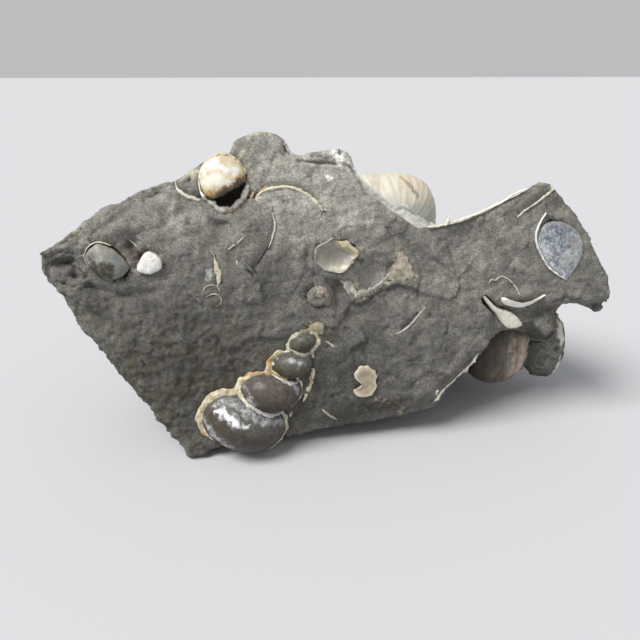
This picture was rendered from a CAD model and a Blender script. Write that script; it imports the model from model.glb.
"""The looks of a chunk of dark mudstone full of fossil shells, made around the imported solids.
Places and sizes are millimetres: X runs to the right along the front, Y into the stone, Z up.
Each piece is made in millimetres and scaled to metres when it joins the scene."""

import math

import bmesh
import bpy
import numpy as np
from mathutils import Matrix, Vector, noise
from mathutils.bvhtree import BVHTree
from mathutils.kdtree import KDTree


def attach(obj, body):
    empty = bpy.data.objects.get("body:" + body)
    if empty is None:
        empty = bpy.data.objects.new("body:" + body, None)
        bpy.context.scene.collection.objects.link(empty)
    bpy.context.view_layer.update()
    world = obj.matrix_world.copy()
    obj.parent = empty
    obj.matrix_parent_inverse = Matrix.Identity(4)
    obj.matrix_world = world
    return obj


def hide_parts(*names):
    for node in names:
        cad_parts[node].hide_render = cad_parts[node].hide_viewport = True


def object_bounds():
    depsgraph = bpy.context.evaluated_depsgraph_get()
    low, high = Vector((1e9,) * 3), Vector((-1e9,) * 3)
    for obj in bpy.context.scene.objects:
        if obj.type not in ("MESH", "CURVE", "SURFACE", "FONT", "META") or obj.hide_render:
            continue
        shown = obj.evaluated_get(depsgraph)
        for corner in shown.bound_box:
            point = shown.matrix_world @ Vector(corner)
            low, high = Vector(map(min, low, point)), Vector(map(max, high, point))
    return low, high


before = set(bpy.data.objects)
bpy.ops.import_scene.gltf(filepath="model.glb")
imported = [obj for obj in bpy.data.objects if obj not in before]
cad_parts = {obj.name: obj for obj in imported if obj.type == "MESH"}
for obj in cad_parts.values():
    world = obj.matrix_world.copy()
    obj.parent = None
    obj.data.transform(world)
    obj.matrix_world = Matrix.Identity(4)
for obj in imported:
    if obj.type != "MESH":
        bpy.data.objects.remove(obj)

cad_low, cad_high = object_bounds()

# The stage: a plain pale floor under an overcast light that comes mostly from the upper left.
# The camera looks down on the front from a little to the left.
MM = 0.001
CAMERA_AT = Vector((-13.2, -93.0, 49.8))
CAMERA_YAW = math.radians(7.7)
CAMERA_PITCH = math.radians(22.7)
CAMERA_LENS = 33.75
CAMERA_SENSOR = 36
CAMERA_NEAREST = 0.001
FLOOR_HALF = 4.0
FLOOR_SHADE = (0.50, 0.51, 0.53)
SKY = (0.97, 0.985, 1.0)
SKY_STRENGTH = 0.52
SUN_FROM = Vector((-0.52, -0.30, 0.80))
SUN_SPREAD = math.radians(30)
SUN_STRENGTH = 3.9
SUN_SHADE = (1.0, 0.985, 0.955)

bpy.context.scene.view_settings.view_transform = "Standard"
camera = bpy.data.objects.new("camera", bpy.data.cameras.new("camera"))
bpy.context.scene.collection.objects.link(camera)
camera.location = CAMERA_AT * MM
looking = Vector((
    math.sin(CAMERA_YAW) * math.cos(CAMERA_PITCH),
    math.cos(CAMERA_YAW) * math.cos(CAMERA_PITCH),
    -math.sin(CAMERA_PITCH),
))
camera.rotation_mode = "QUATERNION"
camera.rotation_quaternion = looking.to_track_quat("-Z", "Y")
camera.data.sensor_fit = "HORIZONTAL"
camera.data.sensor_width = CAMERA_SENSOR
camera.data.lens = CAMERA_LENS
camera.data.clip_start = CAMERA_NEAREST
bpy.context.scene.camera = camera

world = bpy.data.worlds.new("overcast")
world.use_nodes = True
world.node_tree.nodes["Background"].inputs["Color"].default_value = (*SKY, 1)
world.node_tree.nodes["Background"].inputs["Strength"].default_value = SKY_STRENGTH
bpy.context.scene.world = world

light = bpy.data.lights.new("window", "SUN")
light.angle = SUN_SPREAD
light.energy = SUN_STRENGTH
light.color = SUN_SHADE
window = bpy.data.objects.new("window", light)
window.rotation_mode = "QUATERNION"
window.rotation_quaternion = (-SUN_FROM).to_track_quat("-Z", "Y")
bpy.context.scene.collection.objects.link(window)


class Finish:
    """A material in the making. Its patterns are laid out in the object's own millimetres."""

    def __init__(self, name, roughness=0.8):
        self.material = bpy.data.materials.new(name)
        self.material.use_nodes = True
        self.nodes = self.material.node_tree.nodes
        self.shader = self.nodes["Principled BSDF"]
        self.shader.inputs["Roughness"].default_value = roughness
        where = self.nodes.new("ShaderNodeTexCoord").outputs["Object"]
        self.place = self.add("VectorMath", {"operation": "SCALE"}, [where], Scale=1 / MM)

    def plug(self, socket, value):
        """Links a socket to another, or sets its value."""
        if isinstance(value, bpy.types.NodeSocket):
            self.material.node_tree.links.new(value, socket)
        elif isinstance(value, tuple) and len(value) == 3 and socket.type == "RGBA":
            socket.default_value = (*value, 1)
        else:
            socket.default_value = value

    def add(self, kind, settings=None, values=(), output=0, **named):
        """A shader node: its settings, its first inputs in order, then others by name."""
        made = self.nodes.new("ShaderNode" + kind)
        for key, value in (settings or {}).items():
            setattr(made, key, value)
        for socket, value in zip(made.inputs, values):
            self.plug(socket, value)
        for key, value in named.items():
            self.plug(made.inputs[key.replace("_", " ")], value)
        return made.outputs[output]

    def grain(self, size, detail=2.0, rough=0.5, stretch=(1, 1, 1), turn=(0, 0, 0), warp=0.0):
        """Cloudy noise from 0 to 1 with features of about a size, stretched along its axes."""
        scale = tuple(1 / (size * part) for part in stretch)
        turned = tuple(math.radians(angle) for angle in turn)
        place = self.add("Mapping", {}, [self.place], Rotation=turned, Scale=scale)
        return self.add("TexNoise", {}, [place], Scale=1.0, Detail=detail, Roughness=rough,
                        Distortion=warp)

    def band(self, value, low, high, to_low=0.0, to_high=1.0):
        """The value taken smoothly from one range to another."""
        return self.add("MapRange", {"interpolation_type": "SMOOTHSTEP"},
                        [value, low, high, to_low, to_high])

    def axes(self):
        """X, Y and Z of the place."""
        return self.add("SeparateXYZ", {}, [self.place]).node.outputs[:]

    def reckon(self, operation, one, two=0.0):
        """Arithmetic on two values."""
        return self.add("Math", {"operation": operation}, [one, two])

    def times(self, one, two):
        """One value times the other."""
        return self.reckon("MULTIPLY", one, two)

    def plus(self, one, two):
        """One value and the other."""
        return self.reckon("ADD", one, two)

    def mix(self, share, one, two, how="MIX"):
        """Two colours mixed by a share."""
        made = self.nodes.new("ShaderNodeMix")
        made.data_type = "RGBA"
        made.blend_type = how
        for index, value in ((0, share), (6, one), (7, two)):
            self.plug(made.inputs[index], value)
        return made.outputs[2]

    def ramp(self, value, *stops):
        """A colour for each value, from stops of a position and a colour."""
        colour = self.add("ValToRGB", {}, [value])
        elements = colour.node.color_ramp.elements
        while len(elements) < len(stops):
            elements.new(0.5)
        for element, (position, shade) in zip(elements, stops):
            element.position = position
            element.color = (*shade, 1)
        return colour

    def kept(self, name):
        """A value kept on the mesh's vertices."""
        return self.add("Attribute", {"attribute_name": name}, output=2)

    def tinted(self, colour, value, low, high, share, shade):
        """A colour with up to a share of another over it, as a value runs from low to high."""
        return self.mix(self.band(value, low, high, 0.0, share), colour, shade)

    def painted(self, colour, name, share, shade):
        """A colour with a share of another over it in a brushed patch."""
        return self.mix(self.times(self.kept(name), share), colour, shade)

    def finish(self, colour, height=None, depth=0.1, roughness=None):
        """Sets the colour, and the bump and roughness where they are given."""
        self.plug(self.shader.inputs["Base Color"], colour)
        if height is not None:
            bump = self.add("Bump", {}, Distance=depth * MM, Height=height, Strength=1.0)
            self.plug(self.shader.inputs["Normal"], bump)
        if roughness is not None:
            self.plug(self.shader.inputs["Roughness"], roughness)
        return self.material


floor_mesh = bpy.data.meshes.new("floor")
floor_mesh.from_pydata(
    [(x * FLOOR_HALF, y * FLOOR_HALF, 0) for x, y in ((-1, -1), (1, -1), (1, 1), (-1, 1))],
    [], [(0, 1, 2, 3)],
)
floor = bpy.data.objects.new("floor", floor_mesh)
bpy.context.scene.collection.objects.link(floor)
floor_mesh.materials.append(Finish("pale_floor", 0.8).finish(FLOOR_SHADE))

# The stone: a chunk of dark grey mudstone, broken on every side. Its front is a rough, granular
# break with ledges and cracks. The shells were buried in the mud before it hardened.
STONE_VOXEL = 0.42
STONE_KEPT = 0.66
FRONT_FACING = -0.35
FRONT_Y = -22.4
FRONT_LEAN = 0.10
FOOT_HEIGHT = 0.3
FOOT_FACING = -0.6
SHELL_REACH = 1.5
SOCKET_REACH = 0.72
SOCKET_RELIEF = 0.25
BITE = 0.12
BRUSH_DEPTH = 4.5
# Flat facets of the break: how much each sort stands out, and its size.
FACETS = ((0.62, 3.6), (0.30, 1.3))


def smooth(value):
    """Runs from 0 to 1 with no corner at either end."""
    value = min(1.0, max(0.0, value))
    return value * value * (3 - 2 * value)


def settle(obj):
    """Turns the modifiers of an object into its mesh."""
    graph = bpy.context.evaluated_depsgraph_get()
    graph.update()
    mesh = bpy.data.meshes.new_from_object(obj.evaluated_get(graph))
    obj.modifiers.clear()
    obj.data = mesh
    return obj


def cad_copy(node):
    """A copy of a solid in millimetres, with its vertices joined."""
    bm = bmesh.new()
    bm.from_mesh(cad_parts[node].data)
    bm.transform(Matrix.Scale(1 / MM, 4))
    bmesh.ops.remove_doubles(bm, verts=bm.verts, dist=0.001)
    return bm


def new_object(name, bm):
    """Puts a bmesh in the scene."""
    mesh = bpy.data.meshes.new(name)
    bm.to_mesh(mesh)
    bm.free()
    obj = bpy.data.objects.new(name, mesh)
    bpy.context.scene.collection.objects.link(obj)
    return obj


def remesh(obj, voxel):
    """Fuses an object's crossing parts into one even skin."""
    skin = obj.modifiers.new("Remesh", "REMESH")
    skin.mode = "VOXEL"
    skin.voxel_size = voxel
    skin.use_smooth_shade = True
    return settle(obj)


def shape(obj, change):
    """Moves each vertex to where change puts it, from its place and its normal."""
    places = [change(vertex.co.copy(), vertex.normal.copy()) for vertex in obj.data.vertices]
    obj.data.vertices.foreach_set("co", [part for place in places for part in place])
    obj.data.update()


def keep(obj, name, values):
    """Keeps a value for each vertex, for the material to read."""
    obj.data.attributes.new(name, "FLOAT", "POINT").data.foreach_set("value", values)


def join_scene(obj, material, slot, *nodes):
    """Scales a finished piece to metres, keeps it in the solids' box and puts it in the stone."""
    obj.data.transform(Matrix.Scale(MM, 4))
    for vertex in obj.data.vertices:
        for axis in range(3):
            vertex.co[axis] = min(cad_high[axis], max(cad_low[axis], vertex.co[axis]))
    obj.data.materials.clear()
    obj.data.materials.append(material)
    for face in obj.data.polygons:
        face.use_smooth = True
        face.material_index = 0
    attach(obj, "root")
    if nodes:
        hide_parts(*nodes)


shells = bmesh.new()
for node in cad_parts:
    if node != "matrix_stone":
        one_shell = cad_copy(node)
        spare = bpy.data.meshes.new("spare")
        one_shell.to_mesh(spare)
        one_shell.free()
        shells.from_mesh(spare)
        bpy.data.meshes.remove(spare)
shell_tree = BVHTree.FromBMesh(shells)
shells.free()

# Cracks and small grooves of the front: places along each, half width, depth.
CRACKS = [
    ([(-9.3, 30.2), (-10.5, 28.0), (-12.3, 25.7)], 0.35, 0.7),
    ([(6.8, 16.6), (7.9, 17.5), (9.2, 18.5), (11.0, 20.0)], 0.3, 0.4),
    ([(-22.5, 36.2), (-26.5, 34.2), (-30.5, 31.6), (-34.0, 29.6)], 0.5, 0.35),
    ([(-20.0, 33.6), (-24.0, 31.6), (-29.0, 30.4)], 0.5, 0.25),
    ([(-1.0, 19.0), (2.4, 15.4), (3.2, 13.2)], 0.3, 0.3),
    ([(-7.0, 13.5), (-3.6, 9.6), (-4.2, 6.4)], 0.35, 0.3),
    ([(-5.7, 39.55), (-3.4, 39.2), (-1.9, 39.15), (0.6, 38.8), (1.6, 37.6)], 0.22, 0.60),
    ([(-33.8, 26.0), (-31.0, 24.4), (-28.0, 23.6), (-24.6, 23.9)], 0.4, 0.35),
]
# Broad hollows (positive) and swellings (negative): x, z, half width, half height, depth.
HOLLOWS = [
    (3.6, 25.2, 3.0, 2.3, 0.7), (-4.6, 27.4, 0.8, 1.4, 0.7), (-3.4, 38.4, 1.5, 1.0, 0.5),
    (-8.6, 22.0, 1.9, 1.2, 0.35), (-9.0, 33.2, 3.0, 2.2, 0.25), (5.6, 5.2, 2.4, 1.1, 0.45),
    (-34.9, 27.7, 2.2, 0.6, 0.9), (-33.9, 26.2, 1.8, 0.5, 0.8), (-33.4, 29.0, 1.5, 0.5, 0.6),
    (-15.9, 32.0, 0.9, 1.5, 0.7), (24.6, 22.2, 2.0, 0.9, 0.4), (29.0, 33.1, 2.6, 1.1, 0.35),
    (-32.2, 24.6, 2.0, 0.7, 0.5), (-28.0, 23.2, 2.6, 0.8, 0.4),
    (-15.4, 33.0, 1.8, 1.3, 0.5), (-26.8, 29.4, 1.3, 1.2, 0.9), (-3.0, 13.6, 1.6, 2.8, 0.3),
    (-0.4, 23.2, 1.2, 1.0, 0.7), (7.3, 22.4, 2.2, 1.0, 0.5), (-18.9, 37.2, 0.9, 0.9, 0.9),
]


def groove(x, z, points, half, depth):
    """How deep a crack is at a place."""
    nearest = 1e9
    here = Vector((x, z))
    for one, two in zip(points, points[1:]):
        one, two = Vector(one), Vector(two)
        share = min(1, max(0, (here - one).dot(two - one) / (two - one).length_squared))
        nearest = min(nearest, (here - one.lerp(two, share)).length)
    return depth * math.exp(-((nearest / half) ** 2)) if nearest < 3 * half else 0.0


# Steps of the break: places along each, depth, slope and reach of the lower ground on its left.
STEPS = [
    ([(-6.8, 39.9), (-5.6, 39.6), (-1.9, 39.2), (0.6, 38.9), (1.6, 37.7), (2.5, 36.4)],
     0.1, 0.5, 4.0),
    ([(-35.0, 29.6), (-30.5, 32.2), (-26.5, 34.4), (-22.0, 36.3)], 0.0, 0.45, 3.0),
    ([(11.4, 19.8), (9.9, 22.8), (7.1, 23.5), (5.3, 22.9), (3.8, 22.1), (2.4, 21.3), (1.2, 21.3),
      (0.3, 23.0), (-0.7, 24.8), (-3.0, 25.6)], 0.65, 0.0, 3.4),
]


def step_drop(x, z, points, depth, slope, reach):
    """How much lower the stone lies beside a step."""
    here = Vector((x, z))
    nearest = reach
    lower = False
    past = 0.0
    for one, two in zip(points, points[1:]):
        one, two = Vector(one), Vector(two)
        way = two - one
        along = (here - one).dot(way) / way.length_squared
        share = min(1, max(0, along))
        away = here - one.lerp(two, share)
        if away.length < nearest:
            nearest = away.length
            lower = away.y * way.x - away.x * way.y > 0
            past = abs(along - share) * way.length
    if not lower:
        return 0.0
    fade = smooth(2 * (1 - nearest / reach)) * smooth(1.5 - past)
    return (depth * smooth(nearest / 0.35) + slope * nearest) * fade


def break_facets(point, size):
    """The height of a surface broken in flat tilted facets of about a size."""
    _, centres = noise.voronoi(point / size)
    tilt = noise.cell_vector(centres[0] * 7.3) - Vector((0.5, 0.5, 0.5))
    return (point / size - centres[0]).dot(tilt)


def stone_relief(point, normal):
    """How far the rough surface stands out of the plain solid."""
    x, y, z = point
    frontness = smooth((-normal.y - 0.2) / 0.4)
    behind = y - FRONT_Y - FRONT_LEAN * z
    coarse = 0.7 + 0.8 * smooth((-x - 2) / 16) * smooth((30 - z) / 12)
    coarse += 1.6 * math.exp(-((x + 34.6) / 2.6) ** 2 - ((z - 27.2) / 2.2) ** 2)
    height = 0.13 * noise.noise(Vector((x * 0.8 + z * 0.5, y, z * 1.3 - x * 0.4)) / 1.9)
    height += 0.17 * noise.noise(point / 0.95 + Vector((5, 9, 2)))
    height += 0.11 * noise.noise(point / 0.5 + Vector((1, 4, 8)))
    height *= coarse
    rough = 1 + 1.6 * math.exp(-((x + 33.5) / 4.5) ** 2 - ((z - 26.5) / 4.0) ** 2)
    facets = sum(high * break_facets(point, size) for high, size in FACETS)
    height += frontness * rough * facets
    if frontness > 0:
        for cx, cz, half_x, half_z, amount in HOLLOWS:
            away = ((x - cx) / half_x) ** 2 + ((z - cz) / half_z) ** 2
            if away < 6:
                height -= frontness * amount * math.exp(-away)
        for points, half, depth in CRACKS:
            height -= frontness * groove(x, z, points, half, depth)
        for points, depth, slope, reach in STEPS:
            height -= frontness * step_drop(x, z, points, depth, slope, reach)
    rear = (1 - frontness) * smooth((behind - 1.2) / 4.5)
    if rear > 0:
        height += rear * (0.9 * break_facets(point, 6.5) + 0.4 * noise.noise(point / 2.6))
    return height


stone = new_object("mudstone", cad_copy("matrix_stone"))
remesh(stone, STONE_VOXEL)
bm = bmesh.new()
bm.from_mesh(stone.data)
bm.normal_update()
front_edges = {edge for face in bm.faces if face.normal.y < FRONT_FACING for edge in face.edges}
bmesh.ops.subdivide_edges(bm, edges=list(front_edges), cuts=1, use_grid_fill=True)
bm.normal_update()
moves = []
for vertex in bm.verts:
    point = vertex.co
    near, facing, _, distance = shell_tree.find_nearest(point, SHELL_REACH)
    if near is not None and distance < SOCKET_REACH:
        moves.append(near - facing * BITE)
        continue
    calm = 1.0 if near is None else smooth((distance - SOCKET_REACH) / (SHELL_REACH - SOCKET_REACH))
    height = stone_relief(point, vertex.normal) * (SOCKET_RELIEF + (1 - SOCKET_RELIEF) * calm)
    if point.z < FOOT_HEIGHT and vertex.normal.z < FOOT_FACING:
        height = min(0.0, height)
    moves.append(point + vertex.normal * height)
for vertex, move in zip(bm.verts, moves):
    vertex.co = move
bm.normal_update()
bm.to_mesh(stone.data)
bm.free()
thin = stone.modifiers.new("Decimate", "DECIMATE")
thin.ratio = STONE_KEPT
settle(stone)
bm = bmesh.new()
bm.from_mesh(stone.data)
stone_tree = BVHTree.FromBMesh(bm)
bm.free()

# Tints of the front: x, z, half width, half height, how much lighter (or darker).
TINTS = [
    (-6.0, 38.5, 15.0, 7.0, 0.90), (-1.0, 31.0, 7.5, 5.0, 0.66), (-23.0, 32.5, 9.0, 4.5, 0.34),
    (-22.0, 12.0, 11.0, 11.0, -0.66), (-1.0, 11.0, 9.0, 7.0, -0.62), (2.0, 5.0, 8.0, 3.0, -0.40),
    (4.0, 24.6, 3.4, 2.4, 0.15), (-34.6, 27.2, 2.0, 1.6, -0.20), (26.0, 30.0, 10.0, 6.0, 0.32),
    (4.5, 20.3, 5.0, 1.9, -0.30), (-15.6, 32.2, 1.1, 1.4, -0.30), (-12.5, 31.5, 2.6, 2.0, -0.12),
    (-26.6, 29.3, 1.1, 1.0, -0.40), (27.4, 14.0, 3.4, 0.8, -0.40), (28.2, 16.3, 1.8, 0.8, 0.40),
    (-4.6, 27.2, 0.8, 1.2, -0.30), (-4.4, 24.6, 2.0, 1.6, -0.30), (16.0, 25.0, 6.0, 4.0, 0.24),
    (24.5, 23.5, 9.0, 3.5, 0.14), (-3.2, 37.6, 1.6, 0.9, -0.20), (-2.0, 40.2, 3.5, 0.6, 0.15),
]
tones = []
for vertex in stone.data.vertices:
    x, y, z = vertex.co
    value = 0.0
    for cx, cz, half_x, half_z, amount in TINTS:
        away = ((x - cx) / half_x) ** 2 + ((z - cz) / half_z) ** 2
        if away < 9:
            value += amount * math.exp(-away)
    tones.append(math.exp(value * smooth((-vertex.normal.y) / 0.5)))
keep(stone, "tone", tones)


def brush(obj, name, strokes, soft=0.3, ragged=0.5, size=0.8, flat=False):
    """Keeps how much of a brushed patch covers each vertex. A stroke is its radius and places.
    A flat patch has places of X and Z, and is brushed straight back through the front."""
    covers = []
    pressed = Vector((1, 0 if flat else 1, 1))
    deepest = FRONT_Y + BRUSH_DEPTH if flat else 1e9
    if flat:
        strokes = [(radius, [(x, 0, z) for x, z in places]) for radius, places in strokes]
    strokes = [(radius, [Vector(place) for place in places]) for radius, places in strokes]
    for vertex in obj.data.vertices:
        point = vertex.co * pressed
        best = 0.0
        for radius, places in strokes:
            nearest = (point - places[0]).length
            for one, two in zip(places, places[1:]):
                if one != two:
                    way = two - one
                    share = min(1, max(0, (point - one).dot(way) / way.length_squared))
                    nearest = min(nearest, (point - one.lerp(two, share)).length)
            ahead = vertex.co.y < deepest + FRONT_LEAN * vertex.co.z
            if nearest < radius * (1 + 2 * ragged) and ahead:
                torn = 2 * noise.noise(vertex.co / size) + noise.noise(vertex.co / size * 2.7)
                best = max(best, smooth((1 - nearest / radius + ragged * torn) / soft))
        covers.append(best)
    keep(obj, name, covers)
    return covers


# Stains and worn places: the chalky crest, pale weathered rims, mottled and rusty patches, the
# dark of open cracks and of the underside over the brown whorl.
brush(stone, "pale", [
    (0.50, [(-7.0, 41.6), (-6.5, 40.9)]), (0.80, [(-1.4, 40.2), (-0.6, 39.6)]),
    (0.35, [(0.4, 39.2), (1.4, 38.2), (2.3, 36.9)]), (0.40, [(-2.4, 37.7), (-2.0, 37.4)]),
    (0.45, [(-17.2, 26.4), (-17.6, 25.4)]),
], soft=0.8, ragged=0.45, size=0.9, flat=True)
brush(stone, "rim", [
    (0.55, [(-35.6, 30.4), (-31.0, 33.3), (-27.3, 35.5), (-23.7, 36.9), (-20.4, 38.0)]),
    (0.35, [(-12.6, 40.2), (-11.4, 42.6), (-8.6, 43.2)]),
    (0.8, [(-20.6, 37.9), (-19.4, 38.2), (-18.2, 38.4)]),
    (0.30, [(24.0, 35.6), (27.0, 36.4), (28.6, 35.2)]),
], soft=1.0, ragged=0.4, size=0.8, flat=True)
brush(stone, "mottle", [
    (1.1, [(3.4, 7.8), (5.6, 7.0), (7.4, 5.6), (8.2, 4.6)]),
    (0.6, [(1.3, 23.8), (1.7, 21.9), (3.6, 22.3), (6.2, 23.4)]),
    (1.2, [(7.3, 27.6), (7.6, 25.6), (8.4, 24.4)]),
], soft=0.9, ragged=0.4, size=1.1, flat=True)
brush(stone, "rust", [
    (0.8, [(30.6, 18.4), (31.2, 16.4), (31.0, 14.6)]),
    (0.5, [(-25.6, 28.3), (-26.6, 29.6)]),
], soft=0.9, ragged=0.4, size=0.9, flat=True)
brush(stone, "gap", [
    (0.24, [(-3.7, 29.0), (-2.7, 29.6), (-1.7, 30.0)]), (0.2, [(-0.6, 29.8), (0.7, 29.6)]),
    (0.35, [(2.3, 27.3), (2.5, 26.4)]), (0.2, [(-35.8, 27.6), (-34.4, 27.5), (-33.0, 27.0)]),
    (0.65, [(-27.6, 29.9), (-26.8, 29.2), (-26.4, 28.3)]),
    (0.26, [(-9.8, 29.0), (-10.3, 28.2), (-11.1, 27.1), (-12.3, 25.9)]),
    (0.15, [(-5.6, 39.5), (-3.4, 39.15), (-1.9, 39.1), (0.6, 38.75), (1.6, 37.6)]),
    (0.35, [(24.5, 16.6), (25.6, 16.0)]), (0.5, [(29.4, 20.0), (31.2, 20.6), (33.0, 20.2)]),
    (0.15, [(-21.2, 36.5), (-22.6, 35.9), (-24.4, 35.2)]),
    (0.15, [(-30.4, 31.9), (-31.4, 31.1), (-32.0, 30.3)]),
    (0.22, [(3.6, 20.6), (5.0, 21.6)]), (0.15, [(8.4, 21.3), (8.9, 21.6)]),
], soft=1.0, ragged=0.35, size=0.7, flat=True)
brush(stone, "shade", [
    (1.05, [(26.6, 15.9), (27.3, 14.9), (28.4, 14.1), (30.0, 13.8)]),
    (0.75, [(30.0, 14.2), (30.9, 14.3)]),
], soft=0.35, ragged=0.3, size=0.9, flat=True)

rock = Finish("mudstone", 0.9)
clouds = rock.grain(2.4, 4.0, 0.6)
grains = rock.grain(0.24, 4.0, 0.75, stretch=(1.4, 1, 1), turn=(0, 20, 0))
fine = rock.grain(0.11, 2.0, 0.7)
level = rock.plus(rock.band(clouds, 0.3, 0.7, -0.13, 0.13), rock.band(grains, 0.2, 0.8, 0.24, 0.76))
level = rock.plus(level, rock.band(fine, 0.2, 0.8, -0.17, 0.17))
colour = rock.ramp(level, (0.0, (0.036, 0.034, 0.029)), (0.5, (0.142, 0.136, 0.121)),
                   (1.0, (0.37, 0.36, 0.32)))
x, _, z = rock.axes()
low_left = rock.times(rock.band(x, -4.0, -16.0), rock.band(z, 26.0, 14.0))
olive = rock.times(low_left, rock.band(rock.grain(1.6, 4.0, 0.6), 0.46, 0.62, 0.1, 0.75))
colour = rock.mix(olive, colour, (0.098, 0.090, 0.052))
specks = rock.band(rock.grain(0.22, 1.0, 0.5), 0.70, 0.78, 0, 0.6)
colour = rock.mix(specks, colour, (0.42, 0.40, 0.33))
tan_grains = rock.band(rock.grain(0.4, 2.0, 0.5, turn=(40, 0, 10)), 0.62, 0.72, 0, 0.30)
colour = rock.mix(tan_grains, colour, (0.19, 0.160, 0.10))
mottle = rock.ramp(rock.grain(0.7, 3.0, 0.65), (0.38, (0.045, 0.038, 0.026)),
                   (0.50, (0.20, 0.17, 0.115)), (0.62, (0.50, 0.46, 0.36)))
colour = rock.painted(colour, "mottle", 0.75, mottle)
colour = rock.painted(colour, "rust", 0.6, (0.115, 0.065, 0.045))
colour = rock.painted(colour, "gap", 0.85, (0.030, 0.027, 0.022))
colour = rock.painted(colour, "shade", 0.8, (0.026, 0.025, 0.021))
colour = rock.painted(colour, "rim", 0.55, (0.42, 0.40, 0.28))
chalky = rock.band(rock.grain(0.5, 3.0, 0.65), 0.35, 0.6, 0.2, 0.9)
colour = rock.painted(colour, "pale", chalky, (0.56, 0.56, 0.53))
colour = rock.mix(1.0, colour, rock.kept("tone"), "MULTIPLY")
height = rock.plus(rock.times(grains, 0.6), rock.times(fine, 0.4))
rock.finish(colour, height, 0.20)
join_scene(stone, rock.material, "mudstone", "matrix_stone")

# The pearly bivalve near the tail: a thin valve of blue-grey and white mother-of-pearl, flaking
# in fine specks. It lies half buried in the front, and its white outer layer is left as a thin
# rim on the left and below.
FACE_PITCH = 0.13
THREAD_PITCH = 0.14
FAR_FRONT = -60


def seat(x, z):
    """The depth of the finished front at a place."""
    hit = stone_tree.ray_cast(Vector((x, FAR_FRONT, z)), Vector((0, 1, 0)))[0]
    return hit.y if hit else FRONT_Y + FRONT_LEAN * z


def curve(points, pitch, closed=False):
    """Close, even points on a smooth line through the given ones."""
    found = []
    count = len(points)
    for index in range(count if closed else count - 1):
        near = [index + shift for shift in (-1, 0, 1, 2)]
        if closed:
            corners = [Vector(points[step % count]) for step in near]
        else:
            corners = [Vector(points[min(max(step, 0), count - 1)]) for step in near]
        before, start, end, after = corners
        steps = max(1, round((end - start).length / pitch))
        for step in range(steps):
            t = step / steps
            found.append(0.5 * (2 * start + (end - before) * t
                                + (2 * before - 5 * start + 4 * end - after) * t * t
                                + (3 * start - before - 3 * end + after) * t ** 3))
    if not closed:
        found.append(Vector(points[-1]))
    return found


def fitted(places, bend=False):
    """The flat or slightly bent sheet that lies best on the front at some places."""
    def terms(x, z):
        return [1, x, z] + ([x * x, x * z, z * z] if bend else [])
    rows = np.array([terms(x, z) for x, z in places])
    depths = np.array([seat(x, z) for x, z in places])
    parts = np.linalg.lstsq(rows, depths, rcond=None)[0]
    return lambda x, z: float(np.dot(parts, terms(x, z)))


def wobble(x, z, size, seed=0.0):
    """A smooth unevenness from -1 to 1."""
    return 2 * noise.noise(Vector((x / size, z / size, seed)))


def plate(bm, outline, lift, depth, ragged=0.1, size=0.6, rings=20, bed=None):
    """A shell lying in the front. lift gives its height over the stone at a place and a share
    of the way out to the rim. Each vertex keeps how far in from the rim it is."""
    inset = bm.verts.layers.float.get("inset") or bm.verts.layers.float.new("inset")
    edge = curve(outline, FACE_PITCH, closed=True)
    hub = sum(edge, Vector((0, 0))) / len(edge)
    torn = []
    for place in edge:
        out = (place - hub).normalized()
        torn.append(place + out * ragged * wobble(place.x, place.y, size, 2.2))
    if bed is None:
        bed = fitted([hub + (place - hub) * 1.2 for place in edge[::5]])
    rows = []
    row = [bm.verts.new((p.x, bed(p.x, p.y) + depth, p.y)) for p in torn]
    rows.append(row)
    for step in range(rings):
        share = 1 - step / rings
        row = []
        for place, even in zip(torn, edge):
            p = hub + (even - hub) * share + (place - even) * share ** 8
            height = lift(p.x, p.y, share) * (0.55 if step == 0 else 1.0)
            vertex = bm.verts.new((p.x, bed(p.x, p.y) - height, p.y))
            vertex[inset] = 1 - share
            row.append(vertex)
        rows.append(row)
    top = bm.verts.new((hub.x, bed(*hub) - lift(hub.x, hub.y, 0), hub.y))
    top[inset] = 1
    count = len(torn)
    for one, two in zip(rows, rows[1:]):
        for step in range(count):
            after = (step + 1) % count
            bm.faces.new((one[step], one[after], two[after], two[step]))
    bm.faces.new(rows[0][::-1])
    for step in range(count):
        bm.faces.new((rows[-1][step], rows[-1][(step + 1) % count], top))
    return bed


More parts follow.
